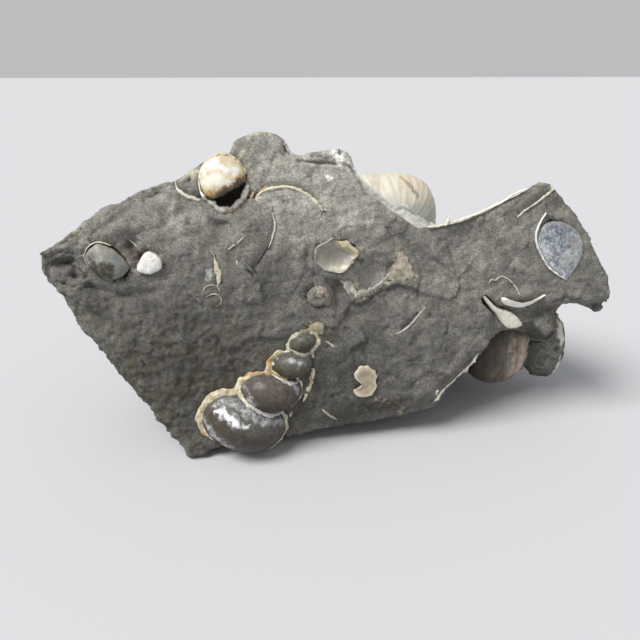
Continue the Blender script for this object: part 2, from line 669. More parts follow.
def thread(bm, points, half, rise, depth, taper=0.25, ragged=0.35, bed=None):
    """A thin shell seen edge on: it follows the stone, stands a little out and narrows away.
    Its half width is one number, or one for each place."""
    inset = bm.verts.layers.float.get("inset") or bm.verts.layers.float.new("inset")
    line = curve(points, THREAD_PITCH)
    last = len(line) - 1
    levels = []
    sides = []
    for index, here in enumerate(line):
        ahead = line[min(index + 1, last)] - line[max(index - 1, 0)]
        side = Vector((-ahead.y, ahead.x)).normalized()
        sides.append(side)
        if bed:
            levels.append(bed(*here))
        else:
            one, two = here + side * 0.55, here - side * 0.55
            levels.append(min(seat(*one), seat(*two)) * 0.7 + max(seat(*one), seat(*two)) * 0.3)
    rows = []
    for index, (here, side) in enumerate(zip(line, sides)):
        near = levels[max(0, index - 3):index + 4]
        level = sum(near) / len(near)
        share = index / last
        narrow = min(1.0, math.sqrt(min(share, 1 - share) / taper + 0.02))
        wide = half
        if isinstance(half, tuple):
            place = share * (len(half) - 1)
            low = min(int(place), len(half) - 2)
            wide = half[low] + (half[low + 1] - half[low]) * (place - low)
        left = wide * narrow * (1 + ragged * wobble(here.x, here.y, 0.5, 1.0))
        right = wide * narrow * (1 + ragged * wobble(here.x, here.y, 0.5, 5.0))
        top = rise * (0.5 + 0.5 * narrow) * (1 + 0.3 * wobble(here.x, here.y, 0.8, 9.0))
        row = []
        for across, up in ((-left, -depth), (-left, top * 0.55), (-left * 0.4, top),
                           (right * 0.4, top), (right, top * 0.55), (right, -depth)):
            place = here + side * across
            vertex = bm.verts.new((place.x, level - up, place.y))
            vertex[inset] = -1
            row.append(vertex)
        rows.append(row)
    for one, two in zip(rows, rows[1:]):
        for step in range(6):
            after = (step + 1) % 6
            bm.faces.new((one[step], one[after], two[after], two[step]))
    bm.faces.new(rows[0])
    bm.faces.new(rows[-1])


BIVALVE = [
    (26.6, 30.4), (27.7, 31.0), (29.2, 31.0), (30.8, 30.4), (32.1, 29.2), (32.8, 27.6),
    (32.7, 26.0), (32.0, 24.6), (30.9, 23.1), (29.6, 23.9), (28.0, 25.2), (26.8, 26.9),
    (26.1, 28.6),
]
BIVALVE_RIM = [
    (26.9, 32.3), (26.2, 31.2), (25.85, 30.2), (25.8, 29.0), (26.1, 27.9), (26.8, 26.7),
    (27.9, 25.1), (29.6, 23.8), (30.9, 23.1),
]


def bivalve_lift(x, z, share):
    """A low dome with faint growth lines."""
    lines = 0.018 * math.sin(share * 46) * share
    return 0.16 + 0.5 * (1 - share ** 2.2) + lines + 0.05 * wobble(x, z, 0.9)


bm = bmesh.new()
bed = plate(bm, BIVALVE, bivalve_lift, depth=0.8, ragged=0.05)
thread(bm, BIVALVE_RIM, half=0.13, rise=0.34, depth=0.5, taper=0.25, ragged=0.4, bed=bed)
bmesh.ops.recalc_face_normals(bm, faces=bm.faces)
valve = new_object("pearly_valve", bm)
brush(valve, "deep", [
    (1.5, [(28.9, 29.4), (30.2, 28.6)]), (0.7, [(27.3, 28.8), (27.8, 27.9)]),
], soft=1.3, ragged=0.7, size=0.8, flat=True)
brush(valve, "tan", [
    (1.2, [(31.5, 27.8), (31.0, 26.4), (30.3, 25.3)]),
], soft=1.3, ragged=0.8, size=0.5, flat=True)
brush(valve, "mud", [
    (1.5, [(27.2, 31.3), (29.0, 31.5), (30.8, 31.0), (32.6, 29.6)]),
], soft=1.0, ragged=0.7, size=0.6, flat=True)
brush(valve, "bright", [
    (0.8, [(26.8, 27.8), (27.8, 26.2), (29.2, 24.8), (30.6, 23.7)]), (0.7, [(32.2, 28.4)]),
], soft=1.3, ragged=0.7, size=0.6, flat=True)
pearl = Finish("mother_of_pearl", 0.36)
inset = pearl.kept("inset")
patches = pearl.grain(1.5, 5.0, 0.7, warp=0.4)
blue = pearl.ramp(patches, (0.36, (0.085, 0.105, 0.14)), (0.50, (0.20, 0.225, 0.26)),
                  (0.62, (0.36, 0.385, 0.41)))
blue = pearl.painted(blue, "deep", 0.75, (0.085, 0.105, 0.14))
flaking = pearl.band(pearl.grain(0.45, 5.0, 0.8), 0.50, 0.60, 0, 0.55)
blue = pearl.mix(flaking, blue, (0.56, 0.59, 0.61))
flakes = pearl.band(pearl.grain(0.35, 4.0, 0.7), 0.38, 0.55, 0, 0.8)
blue = pearl.painted(blue, "bright", flakes, (0.74, 0.77, 0.79))
crumbs = pearl.band(pearl.grain(0.3, 4.0, 0.75), 0.42, 0.54, 0.15, 0.9)
blue = pearl.painted(blue, "tan", crumbs, (0.50, 0.47, 0.37))
holes = pearl.band(pearl.grain(0.32, 4.0, 0.75, turn=(30, 0, 60)), 0.55, 0.66, 0, 0.65)
blue = pearl.mix(holes, blue, (0.10, 0.10, 0.095))
muddy = pearl.band(pearl.grain(0.4, 4.0, 0.7), 0.35, 0.55, 0.3, 0.95)
blue = pearl.painted(blue, "mud", muddy, (0.17, 0.155, 0.14))
blue = pearl.tinted(blue, inset, 0.16, 0.02, 0.5, (0.26, 0.265, 0.26))
blue = pearl.tinted(blue, inset, -0.3, -0.8, 1.0, (0.70, 0.71, 0.69))
pearl.shader.inputs["Coat Weight"].default_value = 0.15
pearl.shader.inputs["Coat Roughness"].default_value = 0.2
pearl.finish(blue, pearl.grain(0.3, 3.0, 0.6), 0.08)
join_scene(valve, pearl.material, "blue_nacre", "pearly_bivalve")

# The oval shell at the left: a smooth, glossy grey dome set in the front. It is dark olive where
# the shell is gone from its mould and bluish at the right, with a cream edge of shell round its
# upper left.
OVAL = [
    (-32.3, 28.4), (-31.7, 29.5), (-30.6, 30.1), (-29.3, 29.6), (-28.2, 28.7), (-27.3, 27.6),
    (-27.3, 26.7), (-28.3, 25.9), (-29.6, 25.7), (-30.8, 26.1), (-31.7, 27.1),
]
OVAL_RIM = [(-32.0, 27.5), (-32.35, 28.6), (-31.7, 29.8), (-30.4, 30.3), (-29.0, 29.8)]


def oval_lift(x, z, share):
    """A smooth dome, highest to the lower right of its middle."""
    lean = 0.16 * ((x + 29.7) - (z - 28.0)) / 3
    return 0.28 + (1.15 + lean) * (1 - share ** 2) ** 0.8 + 0.04 * wobble(x, z, 1.4)


bm = bmesh.new()
bed = plate(bm, OVAL, oval_lift, depth=1.0, ragged=0.06, rings=26)
thread(bm, OVAL_RIM, half=0.08, rise=0.42, depth=0.5, taper=0.2, ragged=0.5, bed=bed)
bmesh.ops.recalc_face_normals(bm, faces=bm.faces)
oval = new_object("oval_valve", bm)
brush(oval, "dark", [
    (1.7, [(-31.6, 27.7), (-30.6, 27.0), (-29.5, 26.3)]), (0.8, [(-29.8, 28.0), (-29.2, 27.3)]),
], soft=0.9, ragged=0.35, size=0.8, flat=True)
brush(oval, "blue", [
    (1.15, [(-28.5, 28.2), (-28.0, 27.4), (-27.7, 26.9)]),
], soft=1.2, ragged=0.25, size=1.2, flat=True)
grey_shell = Finish("glossy_grey_shell", 0.42)
grey_shell.shader.inputs["Specular IOR Level"].default_value = 0.25
inset = grey_shell.kept("inset")
colour = grey_shell.ramp(grey_shell.grain(0.7, 5.0, 0.7), (0.32, (0.16, 0.158, 0.135)),
                         (0.62, (0.29, 0.29, 0.26)))
colour = grey_shell.painted(colour, "blue", 1.0, (0.155, 0.172, 0.19))
colour = grey_shell.painted(colour, "dark", 0.92, (0.034, 0.031, 0.020))
colour = grey_shell.tinted(colour, grey_shell.grain(0.3, 4.0, 0.7), 0.55, 0.72, 0.3,
                           (0.33, 0.32, 0.27))
colour = grey_shell.tinted(colour, inset, 0.12, 0.02, 0.5, (0.33, 0.31, 0.25))
colour = grey_shell.tinted(colour, inset, -0.3, -0.8, 1.0, (0.54, 0.51, 0.42))
grey_shell.finish(colour, grey_shell.grain(0.5, 3.0, 0.6), 0.04)
join_scene(oval, grey_shell.material, "grey_shell", "oval_shell")

# The white fragment beside it: a thick, chalky piece of shell, bedded in the front, with flat
# broken faces and a pinkish edge.
FRAGMENT = [
    (-26.1, 26.8), (-26.1, 27.4), (-25.8, 27.9), (-25.4, 28.5), (-24.9, 29.0), (-24.0, 29.0),
    (-23.1, 28.2), (-23.0, 27.4), (-23.3, 26.9), (-24.5, 26.4), (-25.5, 26.5),
]


def finish_piece(name, bm, material, slot, *nodes):
    """Makes one object of a finished bmesh and puts it in the stone."""
    bmesh.ops.recalc_face_normals(bm, faces=bm.faces)
    obj = new_object(name, bm)
    join_scene(obj, material, slot, *nodes)
    return obj


def fragment_lift(x, z, share):
    """A rounded block with flat broken faces."""
    faces = 0.35 * break_facets(Vector((x, 0.5, z)), 1.9)
    return 0.50 + 0.40 * (1 - share ** 4) + faces + 0.03 * wobble(x, z, 1.1)


bm = bmesh.new()
plate(bm, FRAGMENT, fragment_lift, depth=0.7, ragged=0.04)
chalk = Finish("chalky_white_shell", 0.5)
colour = chalk.ramp(chalk.grain(0.5, 3.0, 0.6), (0.35, (0.52, 0.505, 0.47)),
                    (0.6, (0.68, 0.675, 0.65)))
colour = chalk.tinted(colour, chalk.kept("inset"), 0.10, 0.0, 0.6, (0.50, 0.34, 0.27))
chalk.finish(colour, chalk.grain(0.25, 3.0, 0.6), 0.05)
finish_piece("white_piece", bm, chalk.material, "white_shell", "white_fragment")

# The tan shell low in the middle: a thin film of shell, flat on the front, with a scalloped edge.
# It is whiter on the left and along its edge.
TAN = [
    (1.15, 8.9), (1.75, 8.95), (2.2, 9.3), (2.0, 9.9), (1.45, 10.5), (1.3, 11.2), (1.6, 11.9),
    (2.3, 12.3), (3.3, 12.2), (4.0, 11.6), (4.45, 10.8), (4.25, 10.0), (4.45, 9.2), (4.0, 8.3),
    (3.2, 7.7), (2.3, 7.75), (1.5, 8.1),
]


def tan_lift(x, z, share):
    """Nearly flat, thicker towards its rim."""
    return 0.12 + 0.16 * smooth(share * 1.6 - 0.5) + 0.03 * wobble(x, z, 0.7)


bm = bmesh.new()
plate(bm, TAN, tan_lift, depth=0.5, ragged=0.12)
film = Finish("thin_tan_shell", 0.4)
x, _, z = film.axes()
colour = film.ramp(film.grain(0.8, 4.0, 0.65), (0.3, (0.27, 0.21, 0.145)),
                   (0.7, (0.40, 0.335, 0.25)))
pale = film.plus(film.band(x, 2.6, 1.4, 0, 0.6), film.band(film.kept("inset"), 0.34, 0.10))
colour = film.mix(film.times(pale, 0.6), colour, (0.56, 0.50, 0.40))
colour = film.tinted(colour, film.grain(0.4, 4.0, 0.65), 0.52, 0.66, 0.35, (0.20, 0.17, 0.12))
film.finish(colour, film.grain(0.4, 3.0, 0.6), 0.05)
finish_piece("tan_film_shell", bm, film.material, "tan_film", "tan_shell")

# Two cream flakes under the tail: thick slivers of shell, flat on top with rounded edges. They
# are bedded in the front, the longer one in a groove of the stone.
FLAKE_LONG = [
    (18.7, 21.9), (19.5, 20.9), (20.5, 20.0), (21.9, 19.1), (23.7, 18.4), (25.0, 17.4),
    (26.0, 16.2), (25.8, 15.8), (24.7, 15.6), (23.7, 15.8), (22.7, 16.7), (21.6, 18.1),
    (20.4, 19.4), (19.2, 20.9),
]
FLAKE_SHORT = [
    (21.6, 21.0), (22.0, 20.1), (23.2, 19.5), (24.9, 19.2), (26.4, 19.8), (27.9, 21.1),
    (27.2, 20.8), (26.2, 20.3), (25.0, 19.9), (23.4, 20.3), (22.4, 20.9),
]


def flake_lift(x, z, share):
    """A flat top with a rounded edge."""
    return 0.42 + 0.25 * (1 - share ** 4) + 0.05 * wobble(x, z, 0.8)


def cream_finish(name, pale, dark, roughness=0.55, size=0.8, dusty=0.0):
    """Cream shell, clouded with a darker shade and dusted with mud."""
    shell = Finish(name, roughness)
    colour = shell.ramp(shell.grain(size, 4.0, 0.6), (0.3, dark), (0.6, pale))
    mud = shell.band(shell.grain(0.35, 3.0, 0.7), 0.60 - 0.12 * dusty, 0.74 - 0.08 * dusty, 0,
                     0.5 + 0.35 * dusty)
    colour = shell.mix(mud, colour, tuple(part * 0.55 for part in dark))
    return shell.finish(colour, shell.grain(0.25, 3.0, 0.6), 0.05)


bm = bmesh.new()
plate(bm, FLAKE_LONG, flake_lift, depth=0.5, ragged=0.06, rings=10)
finish_piece("cream_flake_long", bm,
             cream_finish("long_flake", (0.86, 0.85, 0.76), (0.68, 0.64, 0.50)),
             "cream_shell", "shell_flake_long")
bm = bmesh.new()
plate(bm, FLAKE_SHORT, flake_lift, depth=0.5, ragged=0.06, rings=10)
finish_piece("cream_flake_short", bm,
             cream_finish("short_flake", (0.86, 0.85, 0.77), (0.70, 0.66, 0.54)),
             "cream_shell", "shell_flake_short")

# Shells broken across, level with the front, so that only a thin cream edge of each shows. They
# run on into the stone, which holds them on both sides. Name, node, places, half widths, rise,
# depth, pale and dark shades, how dusty.
EDGES = [
    ("arc_top", "shell_arc_top", [
        (-11.3, 34.9), (-10.7, 35.7), (-9.8, 36.15), (-8.6, 36.4), (-7.2, 36.45), (-5.8, 36.05),
        (-4.6, 35.3), (-3.6, 34.4), (-2.8, 33.4),
    ], (0.16, 0.20, 0.17, 0.15, 0.16, 0.18, 0.24, 0.30, 0.24), 0.20, 1.0,
        (0.72, 0.69, 0.56), (0.46, 0.40, 0.28), 0.6),
    ("arc_long", "shell_arc_long", [
        (-9.2, 33.4), (-8.9, 31.8), (-9.4, 30.0), (-9.9, 29.0),
    ], (0.13, 0.15, 0.12, 0.07), 0.12, 0.9, (0.60, 0.58, 0.52), (0.27, 0.24, 0.20), 0.6),
    ("arc_left", "shell_arc_left", [
        (-20.7, 37.2), (-20.5, 36.4), (-19.8, 35.8), (-18.9, 35.3), (-17.6, 34.9),
    ], (0.14, 0.20, 0.22, 0.18, 0.16), 0.22, 0.9, (0.76, 0.73, 0.65), (0.50, 0.45, 0.35), 0.5),
    ("sliver", "shell_sliver", [
        (-16.6, 28.3), (-16.5, 27.4), (-16.35, 26.6), (-16.2, 25.6), (-16.45, 24.5),
    ], (0.10, 0.26, 0.32, 0.28, 0.14), 0.16, 0.7, (0.66, 0.62, 0.50), (0.38, 0.32, 0.21), 0.7),
    ("edge_tail", "shell_edge_tail", [
        (22.9, 31.8), (23.8, 32.6), (25.0, 33.4), (26.3, 34.3), (27.5, 35.1), (28.0, 35.4),
    ], (0.20, 0.13, 0.08, 0.12, 0.20, 0.14), 0.16, 0.9,
        (0.62, 0.61, 0.53), (0.36, 0.33, 0.24), 0.6),
    ("edge_right", "shell_edge_right", [
        (12.6, 5.6), (14.2, 7.3), (16.2, 9.1), (18.2, 11.2), (19.3, 13.1),
    ], (0.20, 0.24, 0.18, 0.26, 0.16), 0.12, 1.8, (0.78, 0.76, 0.66), (0.50, 0.45, 0.33), 0.4),
    ("edge_low", "shell_edge_low", [
        (6.8, 16.8), (8.4, 17.8), (9.8, 19.2), (10.9, 20.4),
    ], (0.10, 0.12, 0.13, 0.10), 0.14, 0.8, (0.36, 0.355, 0.33), (0.20, 0.19, 0.17), 0.6),
]
for name, node, points, halves, rise, depth, pale, dark, dusty in EDGES:
    bm = bmesh.new()
    thread(bm, points, halves, rise, depth)
    finish_piece(name, bm, cream_finish(name, pale, dark, roughness=0.6, size=0.6, dusty=dusty),
                 "cream_shell", node)

# Many thinner threads scattered over the front: the cut edges of shells about a fifth of a
# millimetre thick, held in the stone as those above are. Places, half width, rise.
THREADS = [
    ([(-14.9, 29.0), (-13.8, 29.8), (-12.7, 30.7)], 0.10, 0.10),
    ([(-13.9, 27.7), (-13.7, 27.0)], 0.10, 0.10),
    ([(-17.0, 29.0), (-16.6, 28.3)], 0.10, 0.10),
    ([(-18.3, 23.8), (-17.9, 24.5), (-17.1, 24.7), (-16.4, 24.4), (-16.2, 23.7)], 0.06, 0.05),
    ([(-18.0, 23.2), (-17.1, 23.6), (-16.2, 23.2), (-16.1, 22.4), (-16.8, 21.9)], 0.055, 0.05),
    ([(-2.6, 16.2), (-2.1, 15.8), (-1.4, 15.2)], 0.14, 0.12),
    ([(-3.3, 6.3), (-2.2, 5.2), (-1.1, 4.1)], 0.15, 0.14),
    ([(19.7, 23.0), (20.1, 23.6), (20.6, 23.4), (21.1, 23.8)], (0.16, 0.12, 0.08, 0.08), 0.12),
    ([(20.5, 23.5), (21.5, 23.9), (22.7, 23.3), (23.8, 22.1), (24.3, 21.0)],
     (0.08, 0.10, 0.10, 0.14, 0.20), 0.13),
    ([(-25.3, 28.9), (-26.2, 29.7), (-26.9, 30.3)], 0.08, 0.08),
    ([(26.9, 23.6), (27.05, 23.55)], 0.12, 0.12),
]
bm = bmesh.new()
for points, half, rise in THREADS:
    thread(bm, points, half, rise, depth=0.5, taper=0.3)
finish_piece("shell_threads", bm,
             cream_finish("shell_threads", (0.52, 0.49, 0.40), (0.27, 0.235, 0.17),
                          roughness=0.6, size=0.5, dusty=0.8),
             "cream_shell")

# Two orange scraps of shell at the left end of the top arc: thin stained slips, held in the
# stone as the threads are. Places, half widths.
ORANGE_SCRAPS = [
    ([(-11.9, 34.9), (-11.4, 35.7), (-10.8, 36.5)], (0.10, 0.16, 0.08)),
    ([(-11.2, 35.3), (-10.5, 35.9), (-9.6, 36.7)], (0.10, 0.14, 0.06)),
]
bm = bmesh.new()
for points, halves in ORANGE_SCRAPS:
    thread(bm, points, halves, rise=0.10, depth=0.5, taper=0.3)
finish_piece("orange_scraps", bm,
             cream_finish("orange_scraps", (0.56, 0.42, 0.27), (0.34, 0.23, 0.12),
                          roughness=0.6, size=0.5),
             "cream_shell")

# The high-spired snail at the lower left: a smooth, glossy inner mould of hardened mud, half sunk
# in the front. Its four whorls wind clockwise seen from the tip, and scraps of white shell are
# left on them. Turns from the tip, X, Y and Z of the axis, winding radius, tube radius.
WHORLS = [
    (0.62, -5.25, -20.5, 16.65, 0.05, 1.20), (1.0, -5.5, -20.6, 16.3, 0.15, 1.62),
    (2.0, -7.1, -20.8, 13.3, 0.75, 2.0), (2.3, -7.8, -20.7, 12.3, 0.75, 2.1),
    (3.0, -10.1, -20.2, 9.4, 1.5, 2.95), (3.3, -11.3, -19.9, 8.0, 1.55, 3.0),
    (3.75, -13.3, -19.5, 5.9, 2.4, 3.9), (4.0, -14.0, -19.4, 4.9, 2.5, 3.95),
    (4.25, -14.7, -19.4, 4.5, 2.4, 3.95), (4.5, -15.3, -19.3, 4.1, 2.2, 3.8),
]
SNAIL_STEPS = 300
SNAIL_SIDES = 48
SNAIL_VOXEL = 0.14
SNAIL_AXIS = Vector((-9.1, 0, -11.7))
WHORL_FLATNESS = 0.95
SEAM_SIDES = 24


def along_whorls(turns):
    """The row for any number of turns, eased between the listed ones."""
    total = [0.0] * 5
    for shift in (-0.12, -0.06, 0.0, 0.06, 0.12):
        here = min(max(turns + shift, WHORLS[0][0]), WHORLS[-1][0])
        for one, two in zip(WHORLS, WHORLS[1:]):
            if here <= two[0]:
                share = (here - one[0]) / (two[0] - one[0])
                row = [a + (b - a) * share for a, b in zip(one[1:], two[1:])]
                break
        total = [a + b / 5 for a, b in zip(total, row)]
    return total


def sweep(bm, path, sections, sides):
    """A closed body swept along a path. Each section has two half axes."""
    rings = []
    for centre, (axis_a, axis_b) in zip(path, sections):
        ring = []
        for step in range(sides):
            turn = 2 * math.pi * step / sides
            ring.append(bm.verts.new(centre + axis_a * math.cos(turn) + axis_b * math.sin(turn)))
        rings.append(ring)
    for one, two in zip(rings, rings[1:]):
        for step in range(sides):
            after = (step + 1) % sides
            bm.faces.new((one[step], one[after], two[after], two[step]))
    bm.faces.new(rings[0])
    bm.faces.new(rings[-1])
    bmesh.ops.recalc_face_normals(bm, faces=bm.faces)


snail_down = SNAIL_AXIS.normalized()
snail_toward = Vector((0, -1, 0))
snail_across = (-snail_toward).cross(snail_down).normalized()
path = []
sections = []
seams = KDTree((SNAIL_STEPS + 1) * SEAM_SIDES)
first, last = WHORLS[0][0], WHORLS[-1][0]
for step in range(SNAIL_STEPS + 1):
    turns = first + (last - first) * step / SNAIL_STEPS
    x, y, z, wind, radius = along_whorls(turns)
    out = (snail_toward * math.cos(2 * math.pi * turns)
           + snail_across * math.sin(2 * math.pi * turns))
    path.append(Vector((x, y, z)) + out * wind)
    deep, tall = out * radius * WHORL_FLATNESS, snail_down * radius
    sections.append((deep, tall))
    for side in range(SEAM_SIDES):
        turn = 2 * math.pi * side / SEAM_SIDES
        seams.insert(path[-1] + deep * math.cos(turn) + tall * math.sin(turn),
                     step * SEAM_SIDES + side)
seams.balance()
bm = bmesh.new()
sweep(bm, path, sections, SNAIL_SIDES)
snail = new_object("snail_mould", bm)
remesh(snail, SNAIL_VOXEL)
whites = brush(snail, "white", [
    (0.85, [(-17.7, -23.3, 8.4), (-16.6, -24.2, 8.1), (-15.6, -24.8, 7.4), (-15.0, -25.1, 6.9)]),
    (0.45, [(-14.2, -25.0, 6.9), (-13.5, -25.3, 6.4)]),
    (0.30, [(-12.4, -25.1, 5.2), (-11.6, -24.9, 5.0)]),
    (0.28, [(-9.9, -24.1, 5.6), (-9.2, -23.6, 5.6)]),
    (0.35, [(-10.2, -21.4, 14.2), (-9.9, -21.8, 13.8)]),
    (0.34, [(-7.3, -21.0, 16.0), (-7.0, -20.9, 16.9), (-6.3, -20.9, 17.5)]),
], soft=1.1, ragged=0.5, size=0.6)
brush(snail, "film", [
    (1.0, [(-17.4, -23.0, 9.3), (-15.6, -23.3, 9.4), (-14.2, -23.8, 8.6), (-12.6, -24.6, 7.4)]),
    (0.8, [(-11.4, -24.6, 6.7), (-9.4, -23.7, 6.0), (-8.2, -22.6, 5.2)]),
    (1.1, [(-18.9, -22.9, 6.2), (-18.0, -24.0, 4.8), (-16.4, -24.6, 3.4)]),
    (0.9, [(-14.5, -22.2, 11.3), (-14.4, -22.7, 10.2), (-13.4, -23.4, 9.3), (-12.4, -23.9, 8.6)]),
    (0.6, [(-7.2, -22.6, 11.0), (-6.7, -22.2, 9.8), (-6.9, -22.0, 8.6)]),
    (0.6, [(-9.9, -21.9, 14.9), (-8.2, -22.9, 14.9), (-6.2, -22.8, 14.1)]),
], soft=1.0, ragged=0.5, size=0.8)
brush(snail, "dark", [
    (1.25, [(-18.5, -23.4, 7.0), (-17.2, -24.6, 6.2), (-15.7, -25.4, 5.5), (-14.2, -25.8, 4.6)]),
    (0.9, [(-13.6, -25.8, 4.4), (-11.6, -25.2, 3.6)]),
    (1.1, [(-11.9, -23.9, 9.0), (-9.9, -24.2, 8.2), (-8.4, -23.2, 7.6)]),
    (1.0, [(-9.4, -22.6, 12.9), (-8.2, -23.3, 12.6), (-6.6, -22.8, 12.3)]),
    (1.0, [(-6.0, -22.2, 15.9), (-5.2, -22.0, 15.9)]),
], soft=1.0, ragged=0.40, size=0.9)
turns_kept = []
shoulders = []
heights = []
for vertex, white in zip(snail.data.vertices, whites):
    _, index, _ = seams.find(vertex.co)
    step, side = divmod(index, SEAM_SIDES)
    turns_kept.append(first + (last - first) * step / SNAIL_STEPS)
    shoulders.append(math.sin(2 * math.pi * side / SEAM_SIDES))
    heights.append(0.05 * noise.noise(vertex.co / 1.6) + 0.03 * noise.noise(vertex.co / 0.6)
                   + 0.09 * white)
rises = iter(heights)
shape(snail, lambda point, normal: point + normal * next(rises))
keep(snail, "turns", turns_kept)
keep(snail, "shoulder", shoulders)

mould = Finish("snail_mould", 0.42)
mould.shader.inputs["Specular IOR Level"].default_value = 0.35
turns = mould.kept("turns")
shoulder = mould.kept("shoulder")
cloud = mould.grain(1.1, 4.0, 0.6)
colour = mould.ramp(
    mould.band(turns, 0.0, 4.5),
    (0.0, (0.075, 0.073, 0.048)), (0.30, (0.070, 0.070, 0.046)), (0.38, (0.085, 0.083, 0.062)),
    (0.55, (0.060, 0.053, 0.038)), (0.62, (0.070, 0.050, 0.034)), (0.74, (0.074, 0.055, 0.040)),
    (0.82, (0.070, 0.062, 0.056)), (1.0, (0.072, 0.064, 0.058)),
)
upper = mould.times(mould.band(shoulder, 0.0, -0.75), mould.band(cloud, 0.3, 0.65, 0.1, 0.4))
colour = mould.mix(upper, colour, (0.19, 0.19, 0.185))
colour = mould.tinted(colour, shoulder, 0.35, 0.95, 0.7, (0.036, 0.030, 0.026))
colour = mould.tinted(colour, cloud, 0.48, 0.72, 0.3, (0.17, 0.155, 0.135))
colour = mould.tinted(colour, mould.grain(0.5, 5.0, 0.7), 0.48, 0.62, 0.7, (0.042, 0.036, 0.024))
veil = mould.band(mould.grain(0.6, 5.0, 0.75), 0.36, 0.60, 0.15, 0.92)
colour = mould.painted(colour, "film", veil, (0.43, 0.44, 0.45))
colour = mould.painted(colour, "dark", 0.85, (0.042, 0.036, 0.022))
white = mould.ramp(mould.grain(0.45, 4.0, 0.7), (0.3, (0.42, 0.43, 0.44)),
                   (0.5, (0.80, 0.81, 0.82)))
colour = mould.painted(colour, "white", 1.0, white)
mould.finish(colour, mould.grain(0.3, 3.0, 0.6), 0.03,
             mould.band(mould.grain(0.5, 3.0, 0.6), 0.3, 0.7, 0.42, 0.60))

# Shell left in the seams between the whorls, stuck to the mould: thin cream and bluish bands, and
# orange shell where the second and third whorls meet at the left. Half width, places, tint.
SEAM_PITCH = 0.16
SEAM_RISE = 0.13
SEAM_DEEPEST = 2.5
skin = BVHTree.FromPolygons([vertex.co for vertex in snail.data.vertices],
                            [face.vertices for face in snail.data.polygons])
SEAMS = [
    (0.75, [(-15.2, 11.1), (-14.8, 10.2), (-14.1, 9.3), (-13.0, 8.4)], "cream"),
    (0.36, [(-13.8, 9.0), (-12.6, 8.2), (-11.4, 7.4), (-10.2, 6.85), (-9.0, 6.5), (-7.7, 6.8)],
     "pale"),
    (0.30, [(-10.9, 12.6), (-10.2, 12.2), (-9.2, 11.9), (-8.2, 11.4), (-7.2, 11.0), (-6.4, 10.9)],
     "pale"),
    (0.30, [(-7.6, 15.6), (-6.7, 15.2), (-5.8, 14.9), (-4.9, 14.9), (-4.3, 15.4)], "dull"),
    (0.46, [(-11.4, 13.1), (-10.7, 12.8), (-9.9, 12.45), (-9.0, 12.05), (-8.0, 11.6)], "orange"),
]
# The darker and the paler shade of each tint.
SEAM_TINTS = {
    "cream": ((0.36, 0.29, 0.18), (0.66, 0.62, 0.50)),
    "pale": ((0.30, 0.28, 0.23), (0.56, 0.58, 0.57)),
    "dull": ((0.16, 0.14, 0.11), (0.40, 0.38, 0.33)),
    "orange": ((0.34, 0.20, 0.075), (0.56, 0.44, 0.24)),
}
for tint, (dark, pale) in SEAM_TINTS.items():
    bm = bmesh.new()
    for half, places, which in SEAMS:
        if which != tint:
            continue
        line = []
        ways = []
        along_seam = curve(places, SEAM_PITCH)
        for index, (x, z) in enumerate(along_seam):
            hit, facing, _, _ = skin.ray_cast(Vector((x, FAR_FRONT, z)), Vector((0, 1, 0)))
            if hit is None or hit.y > FRONT_Y + FRONT_LEAN * z + SEAM_DEEPEST:
                continue
            share = index / len(along_seam)
            narrow = math.sqrt(max(0.05, 4 * share * (1 - share)))
            wide = half * narrow * (1 + 0.35 * wobble(x, z, 0.6, 3.0))
            ahead = along_seam[min(index + 1, len(along_seam) - 1)] - along_seam[max(index - 1, 0)]
            along = Vector((ahead.x, 0, ahead.y)).normalized()
            line.append(hit)
            ways.append((facing.cross(along).normalized() * wide, facing * SEAM_RISE))
        sweep(bm, line, ways, sides=12)
    seam = Finish("seam_" + tint, 0.5)
    colour = seam.ramp(seam.grain(0.5, 4.0, 0.65), (0.36, dark), (0.58, pale))
    dirt = seam.band(seam.grain(0.35, 3.0, 0.65, turn=(0, 50, 0)), 0.56, 0.68, 0, 0.5)
    colour = seam.mix(dirt, colour, (0.15, 0.12, 0.085))
    seam.finish(colour, seam.grain(0.25, 3.0, 0.6), 0.05)
    finish_piece("seam_" + tint, bm, seam.material, "cream_shell")

# The snail's own shell, broken off level with the stone: a ragged collar of cream, tan and orange
# shell round the mould, thickest at the upper left, with a scrap at the tip and one at the right.
AROUND_SNAIL = [
    (-21.6, 4.0), (-21.9, 7.0), (-20.6, 10.6), (-17.6, 11.9), (-16.2, 13.6), (-13.2, 15.1),
    (-11.2, 17.1), (-8.6, 18.6), (-6.6, 20.1), (-3.0, 20.6), (-2.0, 17.0), (-2.3, 13.0),
    (-3.8, 9.5), (-5.3, 6.5), (-6.2, 4.4),
]
TIP_SCRAP = [
    (-4.9, 18.2), (-4.4, 18.8), (-3.6, 18.9), (-2.9, 18.6), (-2.9, 17.9), (-3.2, 17.3),
    (-3.9, 17.4), (-4.6, 17.6),
]
RIGHT_SCRAP = [(-5.6, 14.6), (-4.6, 13.9), (-4.5, 12.6), (-4.6, 11.3), (-5.2, 9.3), (-5.9, 7.8)]
LOW_SCRAP = [(-7.5, 6.3), (-7.9, 4.9), (-8.1, 3.5), (-8.8, 2.5)]
COLLAR_VOXEL = 0.2
COLLAR_SUNK = 0.14
snail_bed = fitted(AROUND_SNAIL, bend=True)
collar = bpy.data.objects.new("snail_collar", snail.data.copy())
bpy.context.scene.collection.objects.link(collar)


